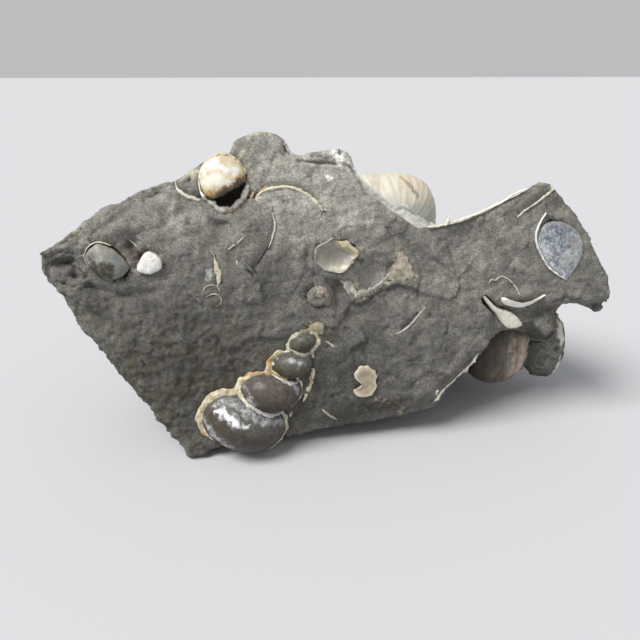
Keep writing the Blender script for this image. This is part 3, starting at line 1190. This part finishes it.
def swollen(point, normal):
    """The snail's skin moved out by the thickness of its shell."""
    side = normal.dot(Vector((-0.75, 0, 0.66)))
    lower = smooth((11.5 - point.z) / 3)
    thick = 0.10 + (0.16 + 0.42 * lower) * smooth(side * 1.4 + 0.1)
    thick += 0.25 * smooth(1.6 - abs(point.z - 13.6) / 1.2) * smooth(-normal.x * 2)
    thick += 0.26 * noise.noise(point / 1.1) + 0.30 * noise.noise(point / 0.45)
    near_tip = Vector((point.x + 4.2, point.z - 16.4)).length
    thick += 0.45 * smooth(1.4 - near_tip / 2.2) * smooth(normal.x * 2)
    return point + normal * max(0.05, thick)


def broken_level(point, normal):
    """What stood out of the stone, broken off level with it."""
    level = snail_bed(point.x, point.z) - COLLAR_SUNK - 0.10 * wobble(point.x, point.z, 0.9)
    if point.y < level:
        point.y = level + 0.02 * (point.y - level)
    return point


shape(collar, swollen)
remesh(collar, COLLAR_VOXEL)
shape(collar, broken_level)
bm = bmesh.new()
bm.from_mesh(collar.data)
bpy.data.objects.remove(collar)
plate(bm, TIP_SCRAP, lambda x, z, share: 0.35 + 0.25 * (1 - share ** 2), depth=0.5, rings=8)
thread(bm, RIGHT_SCRAP, half=0.3, rise=0.12, depth=0.8, taper=0.3, ragged=0.5)
thread(bm, LOW_SCRAP, half=0.28, rise=0.12, depth=0.8, taper=0.3, ragged=0.4)
crust = Finish("snail_shell_wall", 0.65)
colour = crust.ramp(
    crust.grain(1.1, 5.0, 0.7), (0.32, (0.17, 0.135, 0.095)), (0.42, (0.42, 0.31, 0.17)),
    (0.50, (0.56, 0.50, 0.37)), (0.58, (0.70, 0.66, 0.55)), (0.68, (0.50, 0.42, 0.37)),
)
colour = crust.tinted(colour, crust.grain(0.35, 3.0, 0.65), 0.54, 0.66, 0.6, (0.20, 0.165, 0.11))
x, _, z = crust.axes()
corner = crust.times(crust.band(z, 11.6, 12.4), crust.band(z, 15.4, 14.2))
corner = crust.times(corner, crust.band(x, -8.8, -9.6))
corner = crust.times(corner, crust.band(crust.grain(0.7, 3.0, 0.6), 0.35, 0.55, 0.2, 0.9))
colour = crust.mix(corner, colour, (0.40, 0.24, 0.09))
colour = crust.tinted(colour, z, 17.3, 18.0, 0.75, (0.19, 0.17, 0.115))
crust.finish(colour, crust.grain(0.3, 3.0, 0.6), 0.07)
finish_piece("snail_collar", bm, crust.material, "cream_shell")
join_scene(snail, mould.material, "snail_mould", "spired_snail")

# The round shell in the top edge: a thin cream and beige bowl, set deep in the stone. It is broken
# open towards the front with a jagged rim that is thickest below.
CUP_MID = Vector((-14.9, -17.7, 36.9))
CUP_RADII = Vector((3.1, 3.6, 3.65))
WALL = 0.16
BACK_WALL = 0.42
BOWL_BACK = math.pi - 0.04


def bowl(bm, middle, radii, rim, wall, around=170, along=24):
    """A broken hollow shell, open to the front. For each angle round it, rim gives the angle
    from the front at which it is broken off, and wall its thickness there."""
    inset = bm.verts.layers.float.get("inset") or bm.verts.layers.float.new("inset")
    columns = []
    for step in range(around):
        turn = 2 * math.pi * step / around
        edge, thick = rim(turn), wall(turn)
        column = []
        for side, shrink in ((0, 0.0), (1, thick)):
            for part in range(along + 1):
                share = part / along if side == 0 else 1 - part / along
                angle = BOWL_BACK - (BOWL_BACK - edge) * share
                inward = 0.0
                if side:
                    inward = BACK_WALL + (shrink - BACK_WALL) * smooth(share * 5 - 3.6)
                reach = radii - Vector((inward, inward, inward))
                vertex = bm.verts.new(middle + Vector((
                    reach.x * math.sin(angle) * math.cos(turn), -reach.y * math.cos(angle),
                    reach.z * math.sin(angle) * math.sin(turn),
                )))
                vertex[inset] = (1 - share) if side else -(1 - share)
                column.append(vertex)
        columns.append(column)
    for step in range(around):
        one, two = columns[step], columns[(step + 1) % around]
        for part in range(2 * along + 1):
            bm.faces.new((one[part], one[part + 1], two[part + 1], two[part]))
    bm.faces.new([column[0] for column in columns][::-1])
    bm.faces.new([column[-1] for column in columns])


def turned(turn, size, seed):
    """A smooth unevenness round a ring, from -1 to 1."""
    return wobble(math.cos(turn) / size, math.sin(turn) / size, 1.0, seed)


def cup_rim(turn):
    """Broken off just in front of the widest part."""
    return math.radians(77 + 3 * turned(turn, 0.45, 3.0) + 3 * turned(turn, 0.16, 6.0))


def cup_wall(turn):
    """Thin at the top and the left, thick and jagged below."""
    low = smooth(-math.sin(turn) * 1.2 + 0.25 * math.cos(turn) + 0.15)
    return WALL + low * (0.62 + 0.22 * turned(turn, 0.45, 4.0) + 0.07 * turned(turn, 0.16, 8.0))


bm = bmesh.new()
bowl(bm, CUP_MID, CUP_RADII, cup_rim, cup_wall)
rind = Finish("round_shell_wall", 0.5)
inset = rind.kept("inset")
beige = rind.ramp(rind.grain(0.9, 4.0, 0.6), (0.34, (0.30, 0.235, 0.165)),
                  (0.62, (0.52, 0.44, 0.34)))
beige = rind.tinted(beige, rind.grain(0.4, 3.0, 0.6), 0.54, 0.66, 0.6, (0.21, 0.16, 0.105))
white = rind.ramp(rind.grain(0.5, 4.0, 0.6), (0.32, (0.60, 0.58, 0.52)), (0.58, (0.84, 0.83, 0.78)))
x, _, z = rind.axes()
across = rind.reckon("DIVIDE", rind.reckon("SUBTRACT", x, CUP_MID.x), CUP_RADII.x)
upward = rind.reckon("DIVIDE", rind.reckon("SUBTRACT", z, CUP_MID.z), CUP_RADII.z)
reach = rind.plus(rind.reckon("POWER", across, 2.0), rind.reckon("POWER", upward, 2.0))
reach = rind.reckon("SQRT", reach)
torn = rind.band(rind.grain(0.5, 3.0, 0.6), 0.2, 0.8, -0.06, 0.06)
outer = rind.times(rind.band(rind.plus(reach, torn), 0.84, 0.90),
                   rind.band(upward, -0.35, -0.6))
colour = rind.mix(outer, white, beige)
colour = rind.tinted(colour, upward, 0.2, 0.7, 0.8, (0.50, 0.42, 0.28))
colour = rind.tinted(colour, inset, 0.10, 0.4, 1.0, (0.085, 0.070, 0.050))
rind.finish(colour, rind.grain(0.3, 3.0, 0.6), 0.06)
finish_piece("round_bowl", bm, rind.material, "cream_shell", "round_shell")

# The calcite in the round shell: a glossy lump that grew on its wall, white at the upper left,
# then yellow and amber, and nearly black below, where it ends over the hollow.
DOME_MID = CUP_MID + Vector((-0.05, -0.3, 0.5))
DOME_RADII = (2.93, 2.1, 2.98)
DOME_LEAN = 0.43
DOME_RISE = 0.9
DOME_CUT = 38.8
bm = bmesh.new()
bmesh.ops.create_icosphere(bm, subdivisions=5, radius=1)
bm.transform(Matrix.Translation(DOME_MID) @ Matrix.Diagonal((*DOME_RADII, 1)))
dome = new_object("honey_dome", bm)


def dome_skin(point, normal):
    """An uneven lump, cut back below along a slanting line."""
    point = point + normal * (0.07 * noise.noise(point / 1.1) + 0.03 * noise.noise(point / 0.4))
    up = DOME_RISE * point.z - DOME_LEAN * point.x
    short = DOME_CUT + 0.25 * noise.noise(point / 0.7) - up
    return point + Vector((-DOME_LEAN, 0, DOME_RISE)) * max(0.0, short) * 0.9


shape(dome, dome_skin)
brush(dome, "cloud", [
    (1.5, [(-17.2, -18.2, 39.0), (-16.2, -19.4, 38.3), (-15.2, -20.0, 37.6), (-14.3, -19.9, 37.4)]),
    (1.0, [(-16.2, -18.8, 39.6), (-15.0, -19.6, 39.0), (-13.7, -19.6, 38.2)]),
    (0.8, [(-17.3, -18.6, 37.6), (-16.6, -19.2, 37.0)]),
], soft=1.1, ragged=0.45, size=0.8)
brush(dome, "amber", [
    (0.7, [(-17.5, -18.2, 36.8), (-17.0, -18.8, 36.2), (-16.2, -19.2, 35.9)]),
    (0.5, [(-12.5, -18.9, 37.5), (-12.5, -18.6, 38.6)]),
], soft=1.2, ragged=0.4, size=0.8)
honey = Finish("honey_calcite", 0.14)
x, _, z = honey.axes()
rise = honey.reckon("SUBTRACT", honey.times(z, DOME_RISE), honey.times(x, DOME_LEAN))
torn = honey.band(honey.grain(0.9, 5.0, 0.65), 0.25, 0.75, -0.45, 0.45)
level = honey.band(honey.plus(rise, torn), 38.3, 42.3)
colour = honey.ramp(
    level, (0.0, (0.026, 0.023, 0.020)), (0.12, (0.060, 0.042, 0.022)), (0.19, (0.22, 0.13, 0.04)),
    (0.28, (0.50, 0.35, 0.13)), (0.42, (0.72, 0.60, 0.34)), (0.62, (0.76, 0.68, 0.48)),
    (0.88, (0.66, 0.56, 0.38)), (1.0, (0.56, 0.46, 0.31)),
)
colour = honey.painted(colour, "amber", 0.7, (0.52, 0.29, 0.09))
grey_spots = honey.band(honey.grain(1.0, 3.0, 0.6, turn=(20, 0, 40)), 0.60, 0.70, 0, 0.4)
colour = honey.mix(grey_spots, colour, (0.44, 0.42, 0.37))
cloudy = honey.band(honey.grain(0.6, 4.0, 0.65), 0.28, 0.5, 0.55, 1)
above = honey.band(level, 0.16, 0.34)
colour = honey.painted(colour, "cloud", honey.times(cloudy, above), (0.86, 0.85, 0.80))
honey.shader.inputs["Coat Weight"].default_value = 0.5
honey.finish(colour, honey.grain(0.7, 2.0, 0.5), 0.015, honey.band(level, 0.10, 0.25, 0.7, 0.14))
join_scene(dome, honey.material, "honey_calcite", "calcite_dome")

# The small cup in the middle of the front: a translucent grey-tan chip of shell, hollow and set in
# the stone. Its rim is bluish white at the upper left, with a cream ledge at the upper right.
CUP_CHIP = [
    (-3.9, 28.0), (-3.75, 28.6), (-3.0, 29.0), (-2.2, 29.5), (-1.5, 29.8), (-0.7, 29.2),
    (0.3, 29.2), (0.9, 28.6), (1.6, 28.2), (1.9, 27.6), (1.2, 26.9), (0.6, 26.0), (-0.4, 25.4),
    (-1.6, 25.4), (-2.6, 25.7), (-3.4, 26.4), (-3.9, 27.1),
]
CUP_COOL = [(-3.8, 27.0), (-3.9, 28.0), (-3.5, 28.8), (-2.5, 29.3), (-1.5, 29.85), (-0.9, 29.5)]
CUP_WARM = [(1.9, 27.5), (1.2, 26.8), (0.6, 26.0), (-0.3, 25.4), (-1.5, 25.4)]
CUP_LEDGE = [
    (-1.4, 29.75), (-0.9, 29.45), (-0.3, 29.35), (0.5, 29.35), (0.95, 28.8), (1.6, 28.3),
    (2.0, 27.8), (1.8, 27.5), (1.3, 28.0), (0.8, 28.5), (0.2, 28.75), (-0.3, 28.65), (-0.8, 29.1),
]


def chip_lift(x, z, share):
    """A hollow, deeper towards the upper left, with a raised rim."""
    dip = 0.95 * (1 - share ** 2.4)
    return 0.42 - dip + 0.22 * smooth((x + 1.2) * 0.4) * share + 0.06 * wobble(x, z, 0.8)


bm = bmesh.new()
bed = plate(bm, CUP_CHIP, chip_lift, depth=1.4, ragged=0.05, rings=24)
thread(bm, CUP_COOL, half=0.07, rise=0.46, depth=0.6, taper=0.2, ragged=0.6, bed=bed)
thread(bm, CUP_WARM, half=0.12, rise=0.46, depth=0.6, taper=0.2, ragged=0.5, bed=bed)
plate(bm, CUP_LEDGE, lambda x, z, share: 0.58 + 0.08 * (1 - share), depth=0.6, ragged=0.05,
      rings=8, bed=bed)
chip = Finish("translucent_chip", 0.4)
inset = chip.kept("inset")
x, _, z = chip.axes()
colour = chip.ramp(chip.grain(1.2, 5.0, 0.65), (0.3, (0.205, 0.190, 0.160)),
                   (0.55, (0.28, 0.265, 0.225)), (0.75, (0.37, 0.35, 0.30)))
colour = chip.tinted(colour, z, 27.2, 25.6, 0.6, (0.50, 0.47, 0.36))
warm = chip.band(chip.plus(x, chip.band(chip.grain(0.6, 3.0, 0.6), 0.2, 0.8, -0.6, 0.6)),
                 -1.6, -0.6)
rim = chip.mix(warm, (0.27, 0.285, 0.28), (0.56, 0.49, 0.30))
dull = chip.band(chip.grain(0.4, 4.0, 0.7), 0.42, 0.62, 0, 0.7)
rim = chip.mix(dull, rim, (0.34, 0.31, 0.24))
colour = chip.tinted(colour, inset, 0.16, 0.0, 0.6, rim)
colour = chip.tinted(colour, inset, -0.3, -0.8, 1.0, rim)
ledge = chip.times(chip.band(chip.plus(chip.times(x, 0.55), z), 28.0, 28.4),
                 chip.band(x, -1.5, -1.1))
colour = chip.mix(ledge, colour, rim)
low = chip.times(chip.band(z, 26.8, 25.8), chip.band(chip.grain(0.45, 4.0, 0.7), 0.5, 0.6))
colour = chip.mix(chip.times(low, 0.6), colour, (0.64, 0.64, 0.58))
chip.shader.inputs["Coat Weight"].default_value = 0.1
chip.finish(colour, chip.grain(0.4, 3.0, 0.6), 0.06)
finish_piece("shell_chip", bm, chip.material, "grey_shell", "middle_cup")

# Below the cup, a broken wall of the same shell runs down and then right along a low ledge to a
# wedge of brown shell. Both are thin and bedded in the front.
WALL_DOWN = [
    (-1.8, 25.2), (-1.0, 24.7), (-0.1, 23.3), (0.8, 21.9), (1.5, 21.4), (2.0, 22.1), (1.3, 23.3),
    (0.8, 24.4), (0.8, 25.7), (-0.3, 25.8),
]
WALL_RIGHT = [(1.3, 22.0), (2.6, 22.2), (4.1, 22.75), (5.3, 23.5), (6.2, 24.5), (7.0, 25.6)]
WALL_HALVES = (0.55, 0.40, 0.28, 0.26, 0.18, 0.10)
WEDGE = [
    (7.0, 29.1), (7.6, 28.0), (8.4, 26.8), (9.0, 25.4), (9.5, 24.0), (9.2, 23.4), (8.2, 23.4),
    (7.0, 23.6), (5.7, 23.9), (6.3, 24.9), (6.7, 26.2), (6.9, 27.6),
]


def wedge_lift(x, z, share):
    """Highest in the middle, thinning out to the rim."""
    return 0.06 + 0.40 * (1 - share) ** 1.3 + 0.06 * wobble(x, z, 0.7)


bm = bmesh.new()
plate(bm, WALL_DOWN, lambda x, z, share: 0.14 + 0.12 * wobble(x, z, 0.6), depth=0.6, ragged=0.22,
      rings=12)
thread(bm, WALL_RIGHT, WALL_HALVES, rise=0.14, depth=0.7, taper=0.12, ragged=0.5)
finish_piece("chip_wall", bm,
             cream_finish("chip_wall", (0.40, 0.39, 0.34), (0.19, 0.182, 0.155),
                          roughness=0.7, size=0.4, dusty=0.6),
             "cream_shell")
bm = bmesh.new()
plate(bm, WEDGE, wedge_lift, depth=0.5, ragged=0.22, rings=14)
finish_piece("brown_wedge", bm,
             cream_finish("brown_wedge", (0.44, 0.39, 0.30), (0.20, 0.175, 0.13),
                          roughness=0.65, size=0.7, dusty=0.9),
             "cream_shell")

# The button snail below the cup: a tiny flat coil of shell, as grey as the stone it sits in. Its
# tip is worn to pinkish white, with a rusty dot.
BUTTON_TIP = Vector((-3.05, 23.0))
BUTTON_END = Vector((-3.65, 21.85))
BUTTON_TURNS = 2.3
BUTTON_WIND = 1.12
BUTTON_STEPS = 130
BUTTON_SIDES = 28
BUTTON_VOXEL = 0.09
path = []
sections = []
level = seat(-3.5, 25.2) * 0.5 + seat(-6.0, 22.0) * 0.5
for step in range(BUTTON_STEPS + 1):
    share = step / BUTTON_STEPS
    turn = math.radians(75) - 2 * BUTTON_TURNS * math.pi * share
    half = 0.32 + 0.52 * share
    out = Vector((math.cos(turn), 0, math.sin(turn)))
    hub = BUTTON_TIP.lerp(BUTTON_END, share)
    path.append(Vector((hub.x, level - 0.72 + 0.70 * share, hub.y)) + out * BUTTON_WIND * share)
    sections.append((out * half, Vector((0, half * 0.9, 0))))
bm = bmesh.new()
sweep(bm, path, sections, BUTTON_SIDES)
coil = new_object("tiny_coil", bm)
remesh(coil, BUTTON_VOXEL)
shape(coil, lambda point, normal: point + normal * 0.05 * noise.noise(point / 0.4))
brush(coil, "worn", [
    (0.95, [(-3.1, 23.3), (-2.9, 22.8)]),
], soft=0.6, ragged=0.5, size=0.35, flat=True)
brush(coil, "dot", [
    (0.30, [(-3.1, 22.8), (-2.9, 22.6)]),
], soft=0.6, ragged=0.4, size=0.4, flat=True)
grey = Finish("tiny_coil", 0.75)
colour = grey.ramp(grey.grain(0.4, 4.0, 0.65), (0.3, (0.095, 0.090, 0.075)),
                   (0.7, (0.22, 0.21, 0.185)))
crumbs = grey.ramp(grey.grain(0.25, 3.0, 0.7), (0.38, (0.14, 0.11, 0.09)),
                   (0.56, (0.40, 0.355, 0.31)))
colour = grey.painted(colour, "worn", 0.85, crumbs)
colour = grey.painted(colour, "dot", 1.0, (0.16, 0.075, 0.05))
grey.finish(colour, grey.grain(0.2, 3.0, 0.6), 0.05)
join_scene(coil, grey.material, "matrix_shell", "button_snail")

# The scaphite: a cream, ribbed shell set in the back of the stone. It is a small coil, then a
# straight shaft along the top and a square hook down at the right. Its ribs split on the way out,
# and only the hook shows from the front.
SHELL_Y = 15.0
COIL_MID = Vector((1.2, SHELL_Y, 16.8))
COIL_TURNS = 2.4
COIL_GROWTH = 2.2
COIL_REACH = 9.7
COIL_HALF = 5.5
SHAFT_HALF = 7.2
HOOK_MID = Vector((13.8, SHELL_Y, 23.1))
HOOK_BEND = 2.4
HOOK_DROP = 5.0
HOOK_SQUARE = 0.12
LIP_BEND = 5.0
LIP_TURN = 60
LIP_HALF = 5.2
RIB_PITCH = 1.5
RIB_HEIGHT = 0.014
RIB_ROOM = 0.32
COIL_STEPS = 200
BEND_STEPS = 40
SCAPHITE_SIDES = 96
SCAPHITE_VOXEL = 0.24


def outward(turn):
    """The direction away from the middle of a bend, in the plane of the coil."""
    return Vector((math.cos(turn), 0, math.sin(turn)))


def scaphite_path():
    """Centres of the whorl, its way out, and its half height."""
    found = []
    for step in range(COIL_STEPS + 1):
        share = step / COIL_STEPS
        out = outward(math.pi / 2 + (1 - share) * COIL_TURNS * 2 * math.pi)
        growth = math.exp(COIL_GROWTH * (share - 1))
        found.append((COIL_MID + out * COIL_REACH * growth, out, COIL_HALF * growth))
    start = found[-1][0]
    end = HOOK_MID + Vector((0, 0, HOOK_BEND))
    for step in range(1, BEND_STEPS):
        half = COIL_HALF + (SHAFT_HALF - COIL_HALF) * step / BEND_STEPS
        found.append((start.lerp(end, step / BEND_STEPS), outward(math.pi / 2), half))
    for step in range(BEND_STEPS + 1):
        turn = math.pi / 2 * (1 - step / BEND_STEPS)
        half = SHAFT_HALF * (1 + HOOK_SQUARE * math.sin(2 * turn) ** 2)
        found.append((HOOK_MID + outward(turn) * HOOK_BEND, outward(turn), half))
    corner = found[-1][0]
    straight = BEND_STEPS // 2
    for step in range(1, BEND_STEPS + 1):
        half = SHAFT_HALF + (LIP_HALF - SHAFT_HALF) * step / BEND_STEPS
        if step <= straight:
            found.append((corner - Vector((0, 0, HOOK_DROP * step / straight)), outward(0), half))
        else:
            lip_mid = corner - Vector((LIP_BEND, 0, HOOK_DROP))
            turn = -math.radians(LIP_TURN) * (step - straight) / straight
            found.append((lip_mid + outward(turn) * LIP_BEND, outward(turn), half))
    return found


bm = bmesh.new()
rings = []
travelled = 0.0
before = None
for centre, out, half in scaphite_path():
    outer = centre + out * half
    if before is not None:
        travelled += (outer - before).length
    before = outer
    wide = min(half, SHAFT_HALF) * 0.98
    ring = []
    for step in range(SCAPHITE_SIDES):
        turn = 2 * math.pi * step / SCAPHITE_SIDES
        flank = abs(math.sin(turn))
        outside = smooth(math.cos(turn) * 0.8 + 0.75)
        swing = 1.6 * flank ** 2
        phase = 2 * math.pi * (travelled - swing) / RIB_PITCH
        main = max(0.0, math.cos(phase / 2)) ** 1.5
        split = 0.5 + 0.5 * math.cos(phase)
        rib = main * (1 - outside * 0.6) + split * outside * 0.7
        lift = RIB_HEIGHT * half * rib * smooth(math.cos(turn) * 0.9 + 0.8)
        reach = 1 - RIB_ROOM / half * min(1.0, half / 4) + lift / half
        ring.append(bm.verts.new(centre + out * half * math.cos(turn) * reach
                                 + Vector((0, wide * math.sin(turn) * reach, 0))))
    rings.append(ring)
for one, two in zip(rings, rings[1:]):
    for step in range(SCAPHITE_SIDES):
        after = (step + 1) % SCAPHITE_SIDES
        bm.faces.new((one[step], one[after], two[after], two[step]))
bm.faces.new(rings[0])
bm.faces.new(rings[-1])
bmesh.ops.recalc_face_normals(bm, faces=bm.faces)
scaphite = new_object("ribbed_scaphite", bm)
remesh(scaphite, SCAPHITE_VOXEL)
shape(scaphite, lambda point, normal: point + normal * 0.08 * noise.noise(point / 2.3))
brush(scaphite, "streak", [
    (0.65, [(15.6, 12.6, 32.2), (16.3, 11.6, 31.4), (16.9, 10.8, 30.9), (17.4, 10.2, 30.2),
            (17.9, 9.7, 29.3)]),
], soft=0.8, ragged=0.35, size=0.9)
brush(scaphite, "peach", [
    (1.6, [(18.3, 11.5, 30.8), (18.9, 10.2, 29.2), (20.4, 10.3, 27.0)]),
    (1.2, [(11.0, 14.5, 32.6), (14.0, 14.0, 32.6), (17.0, 14.0, 32.4), (19.5, 12.5, 31.0)]),
], soft=0.9, ragged=0.4, size=1.3)
ribbed = Finish("ribbed_shell", 0.5)
_, y, z = ribbed.axes()
lines = ribbed.grain(0.8, 4.0, 0.6, stretch=(1.0, 5.0, 9.0), turn=(0, 8, 0))
colour = ribbed.ramp(lines, (0.30, (0.47, 0.41, 0.32)), (0.45, (0.57, 0.53, 0.44)),
                     (0.62, (0.63, 0.60, 0.52)))
colour = ribbed.tinted(colour, ribbed.grain(4.5, 4.0, 0.6), 0.55, 0.72, 0.3, (0.44, 0.34, 0.22))
colour = ribbed.painted(colour, "peach", 0.5, (0.60, 0.46, 0.32))
streak = ribbed.mix(ribbed.band(z, 31.4, 30.2), (0.36, 0.23, 0.12), (0.17, 0.15, 0.115))
colour = ribbed.painted(colour, "streak", 0.85, streak)
pearly = ribbed.plus(z, ribbed.band(ribbed.grain(1.4, 3.0, 0.6), 0.2, 0.8, -1.0, 1.0))
front = ribbed.times(ribbed.band(pearly, 28.6, 27.0), ribbed.band(y, 12.5, 10.5))
colour = ribbed.mix(ribbed.times(front, 0.7), colour, (0.40, 0.41, 0.39))
ribbed.finish(colour, ribbed.grain(0.5, 3.0, 0.6), 0.05)
join_scene(scaphite, ribbed.material, "ribbed_shell", "scaphite_shell")

# The shell wall behind the left slope of the waist: a thick plate of white and cream shell, held in
# the stone. It is glassy grey in its middle, with a thin dark line where its layers part.
WALL_VOXEL = 0.16


def refined(name, node, voxel, rounds):
    """A finer copy of a solid with its facets smoothed away."""
    obj = new_object(name, cad_copy(node))
    remesh(obj, voxel)
    ease = obj.modifiers.new("Smooth", "SMOOTH")
    ease.iterations = rounds
    ease.factor = 0.5
    return settle(obj)


wall = refined("waist_wall", "shell_band", WALL_VOXEL, rounds=4)
shape(wall, lambda point, normal: point + normal * (0.12 * noise.noise(point / 1.4)
                                                    + 0.07 * noise.noise(point / 0.5)))
brush(wall, "glassy", [
    (0.62, [(4.4, -17.5, 34.8), (6.0, -17.6, 34.2), (7.6, -17.6, 33.4), (9.0, -17.6, 32.8)]),
    (0.5, [(10.2, -17.8, 31.6), (11.6, -17.9, 31.1)]),
], soft=0.9, ragged=0.4)
brush(wall, "parting", [(0.13, [(7.6, -17.8, 33.4), (8.7, -17.8, 32.8), (9.8, -17.8, 32.1),
                                (11.4, -17.9, 31.2)])], soft=0.7, ragged=0.2)
white = Finish("waist_wall", 0.4)
colour = white.ramp(white.grain(0.8, 4.0, 0.6), (0.32, (0.50, 0.47, 0.38)),
                    (0.58, (0.72, 0.72, 0.67)))
colour = white.painted(colour, "glassy", 0.8, (0.36, 0.36, 0.35))
colour = white.painted(colour, "parting", 1.0, (0.10, 0.10, 0.11))
white.finish(colour, white.grain(0.4, 3.0, 0.6), 0.06)
join_scene(wall, white.material, "white_shell", "shell_band")

# Pale scraps of shell: a thread along the edge of the waist with a spike standing on it, and three
# slips in the lower right edge. They are thin and held in the stone. Places, half width, rise.
WAIST = [
    (10.9, 30.9), (12.5, 31.05), (14.0, 31.35), (15.6, 31.75), (17.8, 32.5), (20.4, 33.7),
    (22.4, 34.8), (24.0, 35.5),
]
SPIKE = [(13.2, 31.0), (13.5, 31.7), (13.65, 32.4)]
RIGHT_SCRAPS = [
    ([(13.2, 5.9), (13.2, 6.9), (13.4, 7.8)], 0.28, 0.16),
    ([(14.4, 8.2), (13.9, 7.0), (13.5, 5.9)], 0.25, 0.14),
    ([(17.9, 8.6), (18.2, 10.4), (18.9, 12.4)], 0.42, 0.18),
]
bm = bmesh.new()
thread(bm, WAIST, half=0.12, rise=0.10, depth=0.4, taper=0.3)
thread(bm, SPIKE, (0.34, 0.24, 0.10), rise=0.20, depth=0.4, taper=0.9)
for points, half, rise in RIGHT_SCRAPS:
    thread(bm, points, half, rise, depth=0.6, taper=0.3)
finish_piece("pale_scraps", bm,
             cream_finish("pale_scraps", (0.80, 0.77, 0.68), (0.58, 0.52, 0.40), size=0.6),
             "cream_shell")

# The broken whorl under the tail: a thick brown and pinkish grey shell, banded from top to
# bottom. The stone above holds it, and it is broken off with a jagged edge at the right.
WHORL_VOXEL = 0.2
WHORL_BREAK = 29.6
whorl = refined("brown_whorl", "broken_whorl", WHORL_VOXEL, rounds=8)


def whorl_skin(point, normal):
    """Faint growth bands, and a jagged broken edge at the right."""
    band = 0.05 * noise.noise(Vector((point.x * 1.6 + point.z * 0.3, 0.3, point.z * 0.1)))
    jag = smooth((point.x - WHORL_BREAK) / 1.2) * 0.45
    jag *= noise.noise(Vector((0, point.y / 0.8, point.z / 0.7)))
    moved = point + normal * (band + 0.03 * noise.noise(point / 0.6))
    return moved + Vector((jag, 0, 0))


shape(whorl, whorl_skin)
brush(whorl, "pink", [
    (2.4, [(28.3, -14.6, 11.5), (29.0, -14.4, 9.0), (28.6, -14.0, 5.5)]),
], soft=0.8, ragged=0.3, size=1.4)
brush(whorl, "rim", [
    (0.4, [(30.3, -13.4, 12.0), (30.5, -13.3, 9.5), (30.2, -12.9, 6.5), (29.4, -12.0, 4.2)]),
], soft=0.6, ragged=0.4, size=0.6)
brown = Finish("brown_whorl", 0.55)
x, _, z = brown.axes()
bands = brown.grain(1.1, 5.0, 0.65, stretch=(1.0, 3.0, 5.0), turn=(0, 12, 0))
colour = brown.ramp(bands, (0.32, (0.055, 0.044, 0.028)), (0.50, (0.135, 0.115, 0.080)),
                    (0.64, (0.24, 0.205, 0.155)))
colour = brown.tinted(colour, x, 25.8, 22.6, 0.8, (0.040, 0.034, 0.026))
colour = brown.painted(colour, "pink", brown.band(bands, 0.35, 0.6, 0.45, 0.95), (0.50, 0.39, 0.32))
colour = brown.tinted(colour, z, 11.5, 14.5, 0.6, (0.05, 0.042, 0.033))
colour = brown.tinted(colour, z, 5.4, 3.4, 0.6, (0.12, 0.115, 0.08))
colour = brown.tinted(colour, brown.grain(0.7, 5.0, 0.7), 0.48, 0.66, 0.6, (0.085, 0.064, 0.040))
colour = brown.painted(colour, "rim", 1.0, (0.50, 0.37, 0.25))
brown.finish(colour, brown.grain(0.35, 3.0, 0.6), 0.07)
join_scene(whorl, brown.material, "brown_shell", "broken_whorl")

# The mould of its last chamber: grey-green mudstone that filled it and leaves it at the right in
# rough broken faces, with a thin cream wall of shell left round its edge.
lobe = refined("chamber_mould", "whorl_mould", WHORL_VOXEL, rounds=8)
shape(lobe, lambda point, normal: point + normal * (0.95 * break_facets(point, 2.8) - 0.18
                                                    + 0.04 * noise.noise(point / 0.5)))
brush(lobe, "wall", [
    (1.0, [(35.8, -12.2, 12.6), (35.8, -13.2, 11.2), (36.4, -13.0, 10.2)]),
    (0.55, [(36.5, -13.2, 9.6), (36.7, -13.2, 7.9), (36.5, -13.0, 6.4), (36.2, -12.3, 4.4)]),
], soft=0.5, ragged=0.25, size=0.8)
green = Finish("chamber_mould", 0.6)
x, _, z = green.axes()
colour = green.ramp(green.grain(1.0, 5.0, 0.7), (0.36, (0.050, 0.052, 0.040)),
                    (0.62, (0.21, 0.22, 0.185)))
colour = green.tinted(colour, x, 33.4, 31.2, 0.8, (0.030, 0.030, 0.025))
colour = green.tinted(colour, z, 6.0, 3.6, 0.6, (0.040, 0.040, 0.032))
colour = green.tinted(colour, green.grain(0.4, 3.0, 0.65), 0.54, 0.68, 0.5, (0.05, 0.046, 0.036))
colour = green.painted(colour, "wall", 1.0, (0.68, 0.64, 0.53))
green.finish(colour, green.grain(0.35, 3.0, 0.6), 0.06)
join_scene(lobe, green.material, "mould_stone", "whorl_mould")
